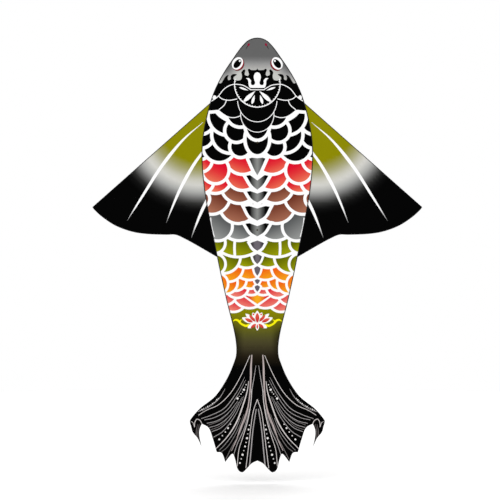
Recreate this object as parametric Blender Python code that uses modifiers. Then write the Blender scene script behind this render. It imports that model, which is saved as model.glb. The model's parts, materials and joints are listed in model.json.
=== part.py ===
"""Carp kite: a printed cloth fish with two wings and a tail, held open by a light frame of rods.

The kite stands nose up with its printed face towards -Y and its frame behind it. The origin is where
the spine and the spreader cross, in the plane of the body cloth. Left is -X, right is +X.
"""

import math

import bpy
from mathutils import Matrix, Vector

# Heights on the centre line, from the crossing of the spine and the spreader (metres)
NOSE_Z = 0.414
CHEEK_Z = 0.401
BROW_Z = 0.331
SHOULDER_Z = 0.177
BELLY_Z = -0.015
ROOT_Z = -0.394
FLANK_Z = -0.552
SEAM_Z = -0.725
TAIL_LENGTH = 0.461

# Half widths of the body cloth at those heights
CHEEK_HALF = 0.0387
BROW_HALF = 0.0939
SHOULDER_HALF = 0.1731
BELLY_HALF = 0.2051
ROOT_HALF = 0.1484
FLANK_HALF = 0.1141
WAIST_HALF = 0.0773
TAIL_HALF = 0.2480

# How fast the half width grows with height at each of them
SIDE_SLOPES = (-1.10, -0.71, -0.29, 0.0, 0.197, 0.23, 0.07)

# Wings: the leading edges are straight and would meet at the apex, inside the head
APEX_Z = 0.3273
TIP_X = 0.6075
TIP_Z = -0.2099
HINGE_INSET = 0.006

# Cloth, tape and the gaps that touching pieces keep
CLOTH = 0.0005
GAP = 0.0003
SEAM_GAP = 0.0005

# Rods, and the wall of the vinyl pieces that hold them
SPINE_R = 0.0025
EDGE_R = 0.0020
SPREADER_R = 0.0020
BATTEN_R = 0.0015
FIT = 0.0003
VINYL_WALL = 0.0010
FERRULE_WALL = 0.0005
HUB_WALL = 0.0012
END_GAP = 0.0005

# Frame: places along the rods
SPINE_TOP_DROP = 0.014
SPINE_FOOT_RISE = 0.045
SPINE_JOINT_Z = -0.120
FERRULE_LENGTH = 0.060
ROD_INSET = 0.0048
STRUT_START = 0.008
HINGE_CLEAR_ROOT = 0.004
EDGE_CLEAR_WING = 0.014
SPREADER_CLEAR_ROOT = 0.006
SPREADER_CLEAR_WING = 0.016
JOINT_TUBE_LENGTH = 0.024
BATTEN_RISE = 0.018
BATTEN_INSET = 0.008

# Sewn-on channels, pockets and patches
LOOP_LENGTH = 0.025
LOOP_FOOT = 0.010
POCKET_LENGTH = 0.050
POCKET_FOOT = 0.010
SLEEVE_FOOT = 0.012
SLEEVE_LIP = 0.0010
SLEEVE_START = 0.024
TIP_POCKET_LENGTH = 0.036
TIP_LIP = 0.0004
TIP_MARGIN = 0.008
STRUT_LOOP_PLACE = 0.55
PATCH_R = 0.012
TAPE_HEIGHT = 0.012
CAP_LENGTH = 0.016
CAP_WALL = 0.0010

# Moulded fittings
HUB_LENGTH = 0.028
HUB_CROSS_LENGTH = 0.040
HUB_WEB = 0.0010
SOCKET_LENGTH = 0.026
CONNECTOR_LENGTH = 0.026
CONNECTOR_REACH = 0.024
CONNECTOR_NOSE = 0.005
STOPPER_LENGTH = 0.005
CUTOUT_MARGIN = 0.004

# Eyelets that the bridle's lines pass through
EYELET_HEIGHTS = {"upper": 0.028, "lower": -0.2946}
EYELET_BORE_R = 0.0014
EYELET_BARREL_R = 0.0019
EYELET_FLANGE_R = 0.0032
FLANGE = 0.0005

ROUND_STEPS = 12
CURVE_STEPS = 8
OVERSHOOT = 0.002

# Depths, from the plane of the body cloth back through the frame
BODY_BACK = CLOTH / 2
WING_Y = CLOTH + GAP
WING_BACK = WING_Y + CLOTH / 2
PATCH_Y = BODY_BACK + GAP + CLOTH / 2
EYELET_BACK = PATCH_Y + CLOTH / 2 + GAP + FLANGE
FRAME_Y = max(
    EYELET_BACK + GAP + SPINE_R,
    BODY_BACK + GAP + HUB_WALL + FIT + SPINE_R,
    WING_BACK + GAP + CAP_WALL + FIT + EDGE_R,
    WING_BACK + GAP + VINYL_WALL + FIT + EDGE_R,
)
SPREADER_Y = FRAME_Y + SPINE_R + FIT + HUB_WEB + FIT + SPREADER_R
BATTEN_Y = BODY_BACK + GAP + BATTEN_R

# Trailing edge of a wing from its root to its tip, in shares of the wing's reach and rise
TRAILING_EDGE = ((0.166, 0.240), (0.262, 0.370), (0.334, 0.446), (0.407, 0.446), (0.559, 0.460),
                 (0.687, 0.510), (0.816, 0.630), (0.920, 0.800), (0.982, 0.940))

# Half of the tail's outline as runs of smooth curve with a corner between runs, in shares of the
# tail's half width and length: the flaring side, the curled strand, the arch inside it, two scallops
TAIL_RUNS = (
    ((0.312, 0.050), (0.334, 0.104), (0.446, 0.248), (0.624, 0.392), (0.847, 0.488), (0.984, 0.572),
     (1.000, 0.602), (0.984, 0.632)),
    ((0.984, 0.632), (0.958, 0.680), (0.886, 0.730), (0.829, 0.797)),
    ((0.829, 0.797), (0.860, 0.715), (0.858, 0.660), (0.824, 0.614)),
    ((0.824, 0.614), (0.721, 0.648), (0.664, 0.726), (0.602, 0.838)),
    ((0.602, 0.838), (0.525, 0.848), (0.475, 0.920)),
    ((0.475, 0.920), (0.423, 0.883), (0.367, 0.854), (0.331, 0.895), (0.291, 0.976), (0.223, 1.000),
     (0.159, 0.972), (0.086, 0.931), (0.000, 0.909)),
)

FINISHES = {
    "body_cloth": ((0.02, 0.02, 0.02), 0.55, 0.0),
    "wing_cloth": ((0.27, 0.26, 0.02), 0.55, 0.0),
    "black_tape": ((0.015, 0.015, 0.015), 0.80, 0.0),
    "rod": ((0.03, 0.03, 0.035), 0.35, 0.0),
    "vinyl": ((0.02, 0.02, 0.02), 0.45, 0.0),
    "ferrule": ((0.80, 0.81, 0.82), 0.30, 0.9),
    "eyelet": ((0.05, 0.05, 0.05), 0.40, 0.6),
}


def clear_scene():
    for obj in list(bpy.data.objects):
        bpy.data.objects.remove(obj, do_unlink=True)


def collection(name):
    made = bpy.data.collections.new(name)
    bpy.context.scene.collection.children.link(made)
    return made


def finish_of(kind, name):
    colour, roughness, metallic = FINISHES[kind]
    material = bpy.data.materials.new(name)
    material.use_nodes = True
    shader = material.node_tree.nodes["Principled BSDF"]
    shader.inputs["Base Color"].default_value = (*colour, 1.0)
    shader.inputs["Roughness"].default_value = roughness
    shader.inputs["Metallic"].default_value = metallic
    return material


def place(obj, name, kind, parent=None, target=None):
    """Name an object, give it its material and move it into the kite's collection and its parent."""
    obj.name = name
    obj.data.name = name
    obj.data.materials.clear()
    obj.data.materials.append(finish_of(kind, name))
    for old in list(obj.users_collection):
        old.objects.unlink(obj)
    (target or KITE).objects.link(obj)
    if parent is not None:
        obj.parent = parent
        obj.matrix_parent_inverse = parent.matrix_world.inverted()
    return obj


def smooth_sides(obj):
    obj.data.shade_smooth()
    obj.data.set_sharp_from_angle(angle=math.radians(40))


def along(start, end):
    """A frame at start whose Z runs to end, for a piece turned about its own Z."""
    start, end = Vector(start), Vector(end)
    turn = (end - start).to_track_quat("Z", "Y").to_matrix().to_4x4()
    return Matrix.Translation(start) @ turn, (end - start).length


def rod(name, start, end, radius, kind, parent=None):
    frame, length = along(start, end)
    bpy.ops.mesh.primitive_cylinder_add(vertices=ROUND_STEPS, radius=radius, depth=length)
    obj = bpy.context.object
    obj.matrix_world = frame @ Matrix.Translation((0, 0, length / 2))
    smooth_sides(obj)
    return place(obj, name, kind, parent)


def turned(name, profile, frame, kind, closed=True, parent=None):
    """A profile of (radius, height) points, swept once round Z."""
    mesh = bpy.data.meshes.new(name)
    last = len(profile) if closed else len(profile) - 1
    edges = [(i, (i + 1) % len(profile)) for i in range(last)]
    mesh.from_pydata([(r, 0, h) for r, h in profile], edges, [])
    obj = bpy.data.objects.new(name, mesh)
    KITE.objects.link(obj)
    obj.matrix_world = frame
    screw = obj.modifiers.new("turn", "SCREW")
    screw.steps = screw.render_steps = ROUND_STEPS
    screw.use_merge_vertices = True
    screw.merge_threshold = 0.00001
    screw.use_smooth_shade = False
    return place(obj, name, kind, parent)


def tube(name, start, end, inner, outer, kind, parent=None):
    frame, length = along(start, end)
    profile = [(outer, length), (outer, 0), (inner, 0), (inner, length)]
    return turned(name, profile, frame, kind, parent=parent)


def cap(name, mouth, crown, inner, kind, parent=None):
    """A cup-shaped end cap, open at its mouth."""
    frame, length = along(mouth, crown)
    outer = inner + CAP_WALL
    floor = length - CAP_WALL
    profile = [(0, length), (outer, length), (outer, 0), (inner, 0), (inner, floor), (0, floor)]
    return turned(name, profile, frame, kind, closed=False, parent=parent)


def flat_curve(name, loops, half, frame, kind, parent=None):
    """A flat outline with any holes, as a filled curve of the given half thickness."""
    curve = bpy.data.curves.new(name, "CURVE")
    curve.dimensions = "2D"
    curve.fill_mode = "BOTH"
    curve.extrude = half
    for loop in loops:
        spline = curve.splines.new("POLY")
        spline.points.add(len(loop) - 1)
        spline.use_cyclic_u = True
        for point, (x, y) in zip(spline.points, loop):
            point.co = (x, y, 0, 1)
    obj = bpy.data.objects.new(name, curve)
    KITE.objects.link(obj)
    obj.matrix_world = frame
    return place(obj, name, kind, parent)


def sheet(name, outline, depth, kind, parent=None, holes=()):
    """Upright cloth: an outline in X and Z at a depth in Y."""
    frame = Matrix.Translation((0, depth, 0)) @ Matrix.Rotation(math.radians(90), 4, "X")
    return flat_curve(name, [outline, *holes], CLOTH / 2, frame, kind, parent)


def arc(radius, first, last, steps, centre=(0, 0)):
    turns = [first + (last - first) * i / steps for i in range(steps + 1)]
    return [(centre[0] + radius * math.cos(math.radians(t)), centre[1] + radius * math.sin(math.radians(t)))
            for t in turns]


def channel(name, start, end, bore, base, feet, kind, parent=None):
    """Cloth arched over a rod from start to end, with a flat foot sewn down on each side."""
    start, end = Vector(start), Vector(end)
    lengthwise = (end - start).normalized()
    back = Vector((0, 1, 0))
    across = back.cross(lengthwise)
    frame = Matrix((across, back, lengthwise)).transposed().to_4x4()
    frame.translation = (start + end) / 2
    low = base - start.y
    outer = bore + CLOTH
    right, left = feet
    outline = [(bore, low), (outer + right, low), (outer + right, low + CLOTH), (outer, low + CLOTH)]
    outline += arc(outer, 0, 180, ROUND_STEPS // 2)
    outline += [(-outer, low + CLOTH), (-outer - left, low + CLOTH), (-outer - left, low), (-bore, low)]
    outline += arc(bore, 180, 0, ROUND_STEPS // 2)
    return flat_curve(name, [outline], (end - start).length / 2, frame, kind, parent)


def cylinder_for_boolean(name, start, end, radius, target):
    frame, length = along(start, end)
    bpy.ops.mesh.primitive_cylinder_add(vertices=ROUND_STEPS, radius=radius, depth=length)
    obj = bpy.context.object
    obj.matrix_world = frame @ Matrix.Translation((0, 0, length / 2))
    obj.name = name
    for old in list(obj.users_collection):
        old.objects.unlink(obj)
    target.objects.link(obj)
    obj.hide_render = True
    obj.display_type = "WIRE"
    return obj


def fitting(name, barrels, bores, kind, parent=None):
    """A moulded fitting: round barrels joined, then bored for its rods."""
    frame, length = along(*barrels[0][:2])
    bpy.ops.mesh.primitive_cylinder_add(vertices=ROUND_STEPS, radius=barrels[0][2], depth=length)
    obj = bpy.context.object
    obj.matrix_world = frame @ Matrix.Translation((0, 0, length / 2))
    for operation, shapes in (("UNION", barrels[1:]), ("DIFFERENCE", bores)):
        for count, (start, end, radius) in enumerate(shapes):
            shape_name = f"{name}_{operation.lower()}_{count}"
            step = obj.modifiers.new(shape_name, "BOOLEAN")
            step.operation = operation
            step.solver = "EXACT"
            step.object = cylinder_for_boolean(shape_name, start, end, radius, CUTTERS)
    return place(obj, name, kind, parent)


def hermite(low, high, slope_low, slope_high, share, span):
    """Value between two stations, from their values and slopes."""
    s2, s3 = share * share, share * share * share
    return ((2 * s3 - 3 * s2 + 1) * low + (s3 - 2 * s2 + share) * span * slope_low
            + (3 * s2 - 2 * s3) * high + (s3 - s2) * span * slope_high)


def body_stations():
    heights = (CHEEK_Z, BROW_Z, SHOULDER_Z, BELLY_Z, ROOT_Z, FLANK_Z, SEAM_Z)
    halves = (CHEEK_HALF, BROW_HALF, SHOULDER_HALF, BELLY_HALF, ROOT_HALF, FLANK_HALF, WAIST_HALF)
    return list(zip(heights, halves, SIDE_SLOPES))


def body_half(z):
    """Half width of the body cloth at a height."""
    stations = body_stations()
    for (top, w0, m0), (foot, w1, m1) in zip(stations, stations[1:]):
        if z >= foot:
            return hermite(w0, w1, m0, m1, (z - top) / (foot - top), foot - top)
    return WAIST_HALF


def body_outline():
    """Right side from nose to seam, then the left side back up, closed by the nose arc."""
    side = []
    stations = body_stations()
    for (top, _, _), (foot, _, _) in zip(stations, stations[1:]):
        side += [top + (foot - top) * i / CURVE_STEPS for i in range(CURVE_STEPS)]
    right = [(body_half(z), z) for z in side] + [(WAIST_HALF, SEAM_Z + SEAM_GAP)]
    left = [(-x, z) for x, z in reversed(right)]
    rise = NOSE_Z - CHEEK_Z
    radius = (CHEEK_HALF ** 2 + rise ** 2) / (2 * rise)
    half_turn = math.degrees(math.asin(CHEEK_HALF / radius))
    nose = arc(radius, 90 + half_turn, 90 - half_turn, 8, centre=(0, NOSE_Z - radius))
    return right + left[:-1] + nose[:-1]


def through(points, steps, with_last=True):
    """A smooth curve through points, sampled evenly between each pair."""
    points = [Vector(p) for p in points]
    padded = [2 * points[0] - points[1], *points, 2 * points[-1] - points[-2]]
    curve = []
    for i in range(1, len(padded) - 2):
        p0, p1, p2, p3 = padded[i - 1:i + 3]
        for step in range(steps):
            t = step / steps
            curve.append(tuple(hermite(a1, a2, (a2 - a0) / 2, (a3 - a1) / 2, t, 1)
                               for a0, a1, a2, a3 in zip(p0, p1, p2, p3)))
    return curve + [tuple(points[-1])] if with_last else curve


def edge_point(distance, inset=0.0):
    """A point on the right leading edge, a distance down from the hinge, set in from the cloth's edge."""
    down = Vector((TIP_X, TIP_Z - APEX_Z)).normalized()
    inward = Vector((down.y, -down.x))
    top = Vector(hinge_ends()[0])
    return top + down * distance + inward * inset


def hinge_ends():
    """Top and foot of the right wing's hinge line, just inside the edge of the body cloth."""
    top_x = SHOULDER_HALF - HINGE_INSET / 2
    top_z = APEX_Z + (TIP_Z - APEX_Z) * top_x / TIP_X
    return (top_x, top_z), (ROOT_HALF - HINGE_INSET, ROOT_Z - HINGE_INSET / 2)


def hinge_x(z):
    (top_x, top_z), (foot_x, foot_z) = hinge_ends()
    return top_x + (foot_x - top_x) * (z - top_z) / (foot_z - top_z)


def wing_outline():
    reach, rise = TIP_X - ROOT_HALF, TIP_Z - ROOT_Z
    trailing = [(ROOT_HALF, ROOT_Z)]
    trailing += [(ROOT_HALF + reach * u, ROOT_Z + rise * v) for u, v in TRAILING_EDGE]
    trailing += [(TIP_X, TIP_Z)]
    top, foot = hinge_ends()
    return [top, foot, *through(trailing, CURVE_STEPS // 2)]


def tail_outline():
    top = SEAM_Z - SEAM_GAP
    half = [(WAIST_HALF, top)]
    for run in TAIL_RUNS:
        knots = [(TAIL_HALF * u, SEAM_Z - TAIL_LENGTH * v) for u, v in run]
        half += through(knots, CURVE_STEPS // 2, with_last=False)
    middle = (0.0, SEAM_Z - TAIL_LENGTH * TAIL_RUNS[-1][-1][1])
    return half + [middle] + [(-x, z) for x, z in reversed(half)]


def mirrored(points, side):
    return [(side * x, z) for x, z in points]


def at(point, depth, side=1):
    return (side * point[0], depth, point[1])


def make_body_cloth():
    holes = [arc(EYELET_BARREL_R + GAP, 0, 330, ROUND_STEPS - 1, centre=(0, z))
             for z in EYELET_HEIGHTS.values()]
    sheet("body_sail", body_outline(), 0, "body_cloth", holes=holes)


def make_eyelets():
    front = -(CLOTH / 2 + GAP + FLANGE)
    for name, z in EYELET_HEIGHTS.items():
        hole = arc(EYELET_BARREL_R + GAP, 0, 330, ROUND_STEPS - 1, centre=(0, z))
        disc = arc(PATCH_R, 0, 345, 2 * ROUND_STEPS - 1, centre=(0, z))
        sheet(f"eyelet_patch_{name}", disc, PATCH_Y, "black_tape", holes=[hole])
        frame, length = along((0, EYELET_BACK, z), (0, front, z))
        profile = [(EYELET_FLANGE_R, length), (EYELET_FLANGE_R, length - FLANGE),
                   (EYELET_BARREL_R, length - FLANGE), (EYELET_BARREL_R, FLANGE),
                   (EYELET_FLANGE_R, FLANGE), (EYELET_FLANGE_R, 0), (EYELET_BORE_R, 0),
                   (EYELET_BORE_R, length)]
        turned(f"bridle_eyelet_{name}", profile, frame, "eyelet")


def evenly(first, last, count):
    """Heights that share a stretch of the spine evenly."""
    return [first + (last - first) * (i + 1) / (count + 1) for i in range(count)]


def loop_heights():
    """The spine's loops, on the free stretches between its fittings, ferrule, patches and foot pocket."""
    below_head = head_apex_z() - HUB_LENGTH / 2
    upper_patch, lower_patch = EYELET_HEIGHTS["upper"], EYELET_HEIGHTS["lower"]
    ferrule_foot = SPINE_JOINT_Z - FERRULE_LENGTH / 2
    pocket_top = SEAM_Z + SPINE_FOOT_RISE + POCKET_LENGTH
    return (evenly(below_head, upper_patch + PATCH_R, 2) + evenly(ferrule_foot, lower_patch + PATCH_R, 1)
            + evenly(lower_patch - PATCH_R, pocket_top, 2))


def head_apex_z():
    """Where the head struts' centre lines meet on the spine."""
    down = Vector((TIP_X, TIP_Z - APEX_Z)).normalized()
    return APEX_Z - ROD_INSET / down.x


def make_spine():
    top, foot = NOSE_Z - SPINE_TOP_DROP, SEAM_Z + SPINE_FOOT_RISE
    half = END_GAP
    rod("spine_upper", (0, FRAME_Y, SPINE_JOINT_Z + half), (0, FRAME_Y, top), SPINE_R, "rod")
    rod("spine_lower", (0, FRAME_Y, foot), (0, FRAME_Y, SPINE_JOINT_Z - half), SPINE_R, "rod")
    bore = SPINE_R + FIT
    tube("spine_ferrule", (0, FRAME_Y, SPINE_JOINT_Z - FERRULE_LENGTH / 2),
         (0, FRAME_Y, SPINE_JOINT_Z + FERRULE_LENGTH / 2), bore, bore + FERRULE_WALL, "ferrule")
    reach = FIT + CAP_WALL
    cap("spine_cap_top", (0, FRAME_Y, top + reach - CAP_LENGTH), (0, FRAME_Y, top + reach), bore, "vinyl")
    cap("spine_cap_foot", (0, FRAME_Y, foot - reach + CAP_LENGTH), (0, FRAME_Y, foot - reach), bore, "vinyl")
    base = BODY_BACK + GAP
    pocket_bore = bore + CAP_WALL + FIT
    feet = (POCKET_FOOT, POCKET_FOOT)
    channel("nose_pocket", (0, FRAME_Y, top + 2 * reach - POCKET_LENGTH), (0, FRAME_Y, top + 2 * reach),
            pocket_bore, base, feet, "black_tape")
    channel("spine_foot_pocket", (0, FRAME_Y, foot - 2 * reach), (0, FRAME_Y, foot - 2 * reach + POCKET_LENGTH),
            pocket_bore, base, feet, "black_tape")
    for number, z in enumerate(loop_heights(), start=1):
        channel(f"spine_loop_{number}", (0, FRAME_Y, z - LOOP_LENGTH / 2), (0, FRAME_Y, z + LOOP_LENGTH / 2),
                bore, base, (LOOP_FOOT, LOOP_FOOT), "black_tape")


def make_crossing():
    spine_bore, cross_bore = SPINE_R + FIT, SPREADER_R + FIT
    half, cross_half = HUB_LENGTH / 2, HUB_CROSS_LENGTH / 2
    barrels = [((0, FRAME_Y, -half), (0, FRAME_Y, half), spine_bore + HUB_WALL),
               ((-cross_half, SPREADER_Y, 0), (cross_half, SPREADER_Y, 0), cross_bore + HUB_WALL)]
    bores = [((0, FRAME_Y, -half - OVERSHOOT), (0, FRAME_Y, half + OVERSHOOT), spine_bore),
             ((-cross_half - OVERSHOOT, SPREADER_Y, 0), (cross_half + OVERSHOOT, SPREADER_Y, 0), cross_bore)]
    fitting("centre_fitting", barrels, bores, "vinyl")
    reach = hinge_x(0) - SPREADER_CLEAR_ROOT
    rod("centre_spreader", (-reach, SPREADER_Y, 0), (reach, SPREADER_Y, 0), SPREADER_R, "rod")


def make_head_frame():
    down = Vector((TIP_X, 0, TIP_Z - APEX_Z)).normalized()
    apex = Vector((0, FRAME_Y, head_apex_z()))
    spine_bore, edge_bore = SPINE_R + FIT, EDGE_R + FIT
    half = HUB_LENGTH / 2
    barrels = [(apex - Vector((0, 0, half)), apex + Vector((0, 0, half)), spine_bore + HUB_WALL)]
    bores = [(apex - Vector((0, 0, half + OVERSHOOT)), apex + Vector((0, 0, half + OVERSHOOT)), spine_bore)]
    for side in (-1, 1):
        out = Vector((side * down.x, 0, down.z))
        barrels.append((apex, apex + out * SOCKET_LENGTH, edge_bore + VINYL_WALL))
        bores.append((apex + out * (STRUT_START - END_GAP), apex + out * (SOCKET_LENGTH + OVERSHOOT), edge_bore))
    fitting("head_fitting", barrels, bores, "vinyl")
    for side, name in ((-1, "left"), (1, "right")):
        out = Vector((side * down.x, 0, down.z))
        hinge = Vector(at(edge_point(0, ROD_INSET), FRAME_Y, side))
        foot = hinge - out * HINGE_CLEAR_ROOT
        rod(f"head_strut_{name}", apex + out * STRUT_START, foot, EDGE_R, "rod")
        tube(f"shoulder_tube_{name}", foot - out * JOINT_TUBE_LENGTH, foot, edge_bore, edge_bore + VINYL_WALL,
             "vinyl")
        middle = apex.lerp(foot, STRUT_LOOP_PLACE)
        channel(f"strut_loop_{name}", middle - out * LOOP_LENGTH / 2, middle + out * LOOP_LENGTH / 2,
                edge_bore, BODY_BACK + GAP, (LOOP_FOOT, LOOP_FOOT), "black_tape")
        end = (side * (hinge_x(0) - SPREADER_CLEAR_ROOT), SPREADER_Y, 0)
        start = (end[0] - side * JOINT_TUBE_LENGTH, SPREADER_Y, 0)
        bore = SPREADER_R + FIT
        tube(f"spreader_tube_{name}", start, end, bore, bore + VINYL_WALL, "vinyl")


def make_waist():
    z = SEAM_Z + BATTEN_RISE
    reach = body_half(z) - BATTEN_INSET
    rod("tail_batten", (-reach, BATTEN_Y, z), (reach, BATTEN_Y, z), BATTEN_R, "rod")
    bore = BATTEN_R + FIT
    channel("batten_sleeve", (-reach, BATTEN_Y, z), (reach, BATTEN_Y, z), bore, BODY_BACK + GAP,
            (SLEEVE_FOOT / 2, SLEEVE_FOOT / 2), "black_tape")


def hinge_empty(name, side):
    """An empty on a wing's hinge line, its Z along the line."""
    top, foot = hinge_ends()
    empty = bpy.data.objects.new(name, None)
    KITE.objects.link(empty)
    empty.matrix_world = along(at(foot, WING_Y, side), at(top, WING_Y, side))[0]
    return empty


def make_wing(side, name):
    pivot = hinge_empty(f"wing_pivot_{name}", side)
    sheet(f"wing_sail_{name}", mirrored(wing_outline(), side), WING_Y, "wing_cloth", pivot)
    length = (Vector((TIP_X, TIP_Z)) - Vector(hinge_ends()[0])).length
    rod_end = length - TIP_MARGIN - FIT - CAP_WALL

    def on_edge(distance):
        return Vector(at(edge_point(distance, ROD_INSET), FRAME_Y, side))

    bore = EDGE_R + FIT
    base = WING_BACK + GAP
    rod(f"leading_edge_rod_{name}", on_edge(EDGE_CLEAR_WING), on_edge(rod_end), EDGE_R, "rod", pivot)
    cap(f"wing_tip_cap_{name}", on_edge(length - TIP_MARGIN - CAP_LENGTH), on_edge(length - TIP_MARGIN),
        bore, "vinyl", pivot)
    down = Vector((TIP_X, 0, TIP_Z - APEX_Z)).normalized()
    cross = edge_point(0, ROD_INSET).y / -down.z
    clear = CONNECTOR_LENGTH / 2 + END_GAP + STOPPER_LENGTH + CUTOUT_MARGIN
    feet = (SLEEVE_FOOT, SLEEVE_LIP) if side > 0 else (SLEEVE_LIP, SLEEVE_FOOT)
    channel(f"edge_sleeve_inner_{name}", on_edge(SLEEVE_START), on_edge(cross - clear), bore, base, feet,
            "black_tape", pivot)
    pocket_start = length - TIP_MARGIN + FIT - TIP_POCKET_LENGTH
    channel(f"edge_sleeve_outer_{name}", on_edge(cross + clear), on_edge(pocket_start - END_GAP), bore, base,
            feet, "black_tape", pivot)
    lips = (SLEEVE_FOOT, TIP_LIP) if side > 0 else (TIP_LIP, SLEEVE_FOOT)
    channel(f"wing_tip_pocket_{name}", on_edge(pocket_start), on_edge(length - TIP_MARGIN + FIT),
            bore + CAP_WALL + FIT, base, lips, "black_tape", pivot)
    make_connector(side, name, pivot, on_edge, cross)


def make_connector(side, name, pivot, on_edge, cross):
    """The vinyl T on the leading edge that takes the spreader's end, held by a stopper on each side."""
    centre = on_edge(cross)
    half = CONNECTOR_LENGTH / 2
    edge_bore, spreader_bore = EDGE_R + FIT, SPREADER_R + FIT
    inner = Vector((centre.x - side * CONNECTOR_REACH, SPREADER_Y, centre.z))
    outer = Vector((centre.x + side * CONNECTOR_NOSE, SPREADER_Y, centre.z))
    barrels = [(on_edge(cross - half), on_edge(cross + half), edge_bore + VINYL_WALL),
               (inner, outer, spreader_bore + HUB_WALL),
               (centre, Vector((centre.x, SPREADER_Y, centre.z)), edge_bore + VINYL_WALL / 2)]
    socket_end = centre.x + side * (CONNECTOR_NOSE - HUB_WALL)
    bores = [(on_edge(cross - half - OVERSHOOT), on_edge(cross + half + OVERSHOOT), edge_bore),
             (inner - Vector((side * OVERSHOOT, 0, 0)), Vector((socket_end, SPREADER_Y, centre.z)), spreader_bore)]
    fitting(f"edge_connector_{name}", barrels, bores, "vinyl", pivot)
    start = side * (hinge_x(centre.z) + SPREADER_CLEAR_WING)
    rod(f"outer_spreader_{name}", (start, SPREADER_Y, centre.z),
        (socket_end - side * FIT, SPREADER_Y, centre.z), SPREADER_R, "rod", pivot)
    for place_name, way in (("upper", -1), ("lower", 1)):
        first = cross + way * (half + END_GAP)
        tube(f"edge_stopper_{place_name}_{name}", on_edge(first), on_edge(first + way * STOPPER_LENGTH),
             edge_bore, edge_bore + VINYL_WALL, "vinyl", pivot)


def make_tail():
    pivot = bpy.data.objects.new("tail_pivot", None)
    KITE.objects.link(pivot)
    pivot.matrix_world = Matrix.Translation((0, 0, SEAM_Z))
    sheet("tail_sail", tail_outline(), 0, "body_cloth", pivot)
    top = SEAM_Z - 3 * SEAM_GAP
    half = WAIST_HALF - BATTEN_INSET / 2
    strip = [(-half, top - TAPE_HEIGHT), (half, top - TAPE_HEIGHT), (half, top), (-half, top)]
    sheet("tail_header_tape", strip, PATCH_Y, "black_tape", pivot)


clear_scene()
KITE = collection("carp_kite")
CUTTERS = collection("carp_kite_cutters")
make_body_cloth()
make_eyelets()
make_spine()
make_crossing()
make_head_frame()
make_waist()
for wing_side, wing_name in ((-1, "left"), (1, "right")):
    make_wing(wing_side, wing_name)
make_tail()
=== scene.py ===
"""A fish kite: printed cloth, its frame of rods and fittings, and the stage it is shown on."""

import json
import math

import bmesh
import bpy
import numpy as np
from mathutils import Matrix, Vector, noise
from mathutils.geometry import delaunay_2d_cdt

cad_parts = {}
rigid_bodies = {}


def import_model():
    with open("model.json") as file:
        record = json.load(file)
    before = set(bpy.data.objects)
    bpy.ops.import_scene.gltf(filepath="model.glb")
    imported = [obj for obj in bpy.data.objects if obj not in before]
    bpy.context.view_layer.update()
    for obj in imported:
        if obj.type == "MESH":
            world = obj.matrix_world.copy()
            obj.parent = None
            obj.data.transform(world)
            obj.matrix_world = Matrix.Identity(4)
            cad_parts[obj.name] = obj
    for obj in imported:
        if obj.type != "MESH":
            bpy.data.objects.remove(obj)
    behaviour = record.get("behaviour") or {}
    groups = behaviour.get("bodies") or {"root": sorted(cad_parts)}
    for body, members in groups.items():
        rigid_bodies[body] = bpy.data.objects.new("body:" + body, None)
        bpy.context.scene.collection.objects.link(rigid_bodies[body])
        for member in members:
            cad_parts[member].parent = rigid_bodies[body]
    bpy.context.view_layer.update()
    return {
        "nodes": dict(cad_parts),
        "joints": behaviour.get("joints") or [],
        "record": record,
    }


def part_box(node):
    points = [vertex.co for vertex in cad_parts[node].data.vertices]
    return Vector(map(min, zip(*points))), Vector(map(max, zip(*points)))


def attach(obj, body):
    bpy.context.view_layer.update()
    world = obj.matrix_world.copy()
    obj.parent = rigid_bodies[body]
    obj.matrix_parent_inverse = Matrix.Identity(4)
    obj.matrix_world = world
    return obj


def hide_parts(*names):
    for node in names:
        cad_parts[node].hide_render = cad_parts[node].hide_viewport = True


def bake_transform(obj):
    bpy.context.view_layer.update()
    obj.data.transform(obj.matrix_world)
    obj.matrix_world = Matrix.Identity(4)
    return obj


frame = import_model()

bl_info = {
    "name": "Fish kite",
    "version": (1, 0, 0),
    "blender": (4, 5, 0),
    "location": "View3D > Sidebar > Kite",
    "description": "Builds a printed fish kite on its frame, piece by piece",
    "category": "Add Mesh",
}

MM = 0.001
SIDES = (("left", -1), ("right", 1))
LEVELS = ("upper", "lower")
TOWARDS_VIEWER = Vector((0, -1, 0))
CLOTH_FINISHES = ("printed cloth", "printed cloth, back", "thread")
TAPE_FINISHES = ("black tape", "black tape", "thread")
BLACK_THREAD = "161616"


# ---- what the frame says


def corners(node):
    return np.array([v.co for v in frame["nodes"][node].data.vertices], float)


def box_of(node):
    """The middle of a node and half its size, in mm."""
    low, high = (np.array(p, float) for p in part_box(node))
    return (low + high) / 2 / MM, (high - low) / 2 / MM


def axis_of(node):
    """The two ends of a long round node's middle line, and its radius."""
    co = corners(node)
    middle = (co.min(0) + co.max(0)) / 2
    along = np.linalg.svd(co - co.mean(0), full_matrices=False)[2][0]
    along = along if along[np.abs(along).argmax()] > 0 else -along
    reach = (co - middle) @ along
    radius = np.linalg.norm(co - middle - np.outer(reach, along), axis=1).max()
    ends = [Vector(middle + along * r) for r in (reach.min(), reach.max())]
    return ends[0], ends[1], float(radius)


def edge_of(node):
    """The edge of a flat cloth node from the front, as an anticlockwise loop of (x, z) in mm."""
    bm = bmesh.new()
    bm.from_mesh(frame["nodes"][node].data)
    bmesh.ops.remove_doubles(bm, verts=bm.verts, dist=1e-6)
    front = {f for f in bm.faces if f.normal.y < -0.9}
    following = {}
    for face in front:
        for corner in face.loops:
            if sum(f in front for f in corner.edge.link_faces) == 1:
                following[corner.vert] = corner.link_loop_next.vert
    first = max(following, key=lambda v: (v.co.z, v.co.x))
    loop, vert = [], first
    while not loop or vert is not first:
        loop.append((vert.co.x / MM, vert.co.z / MM))
        vert = following[vert]
    bm.free()
    return loop


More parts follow.
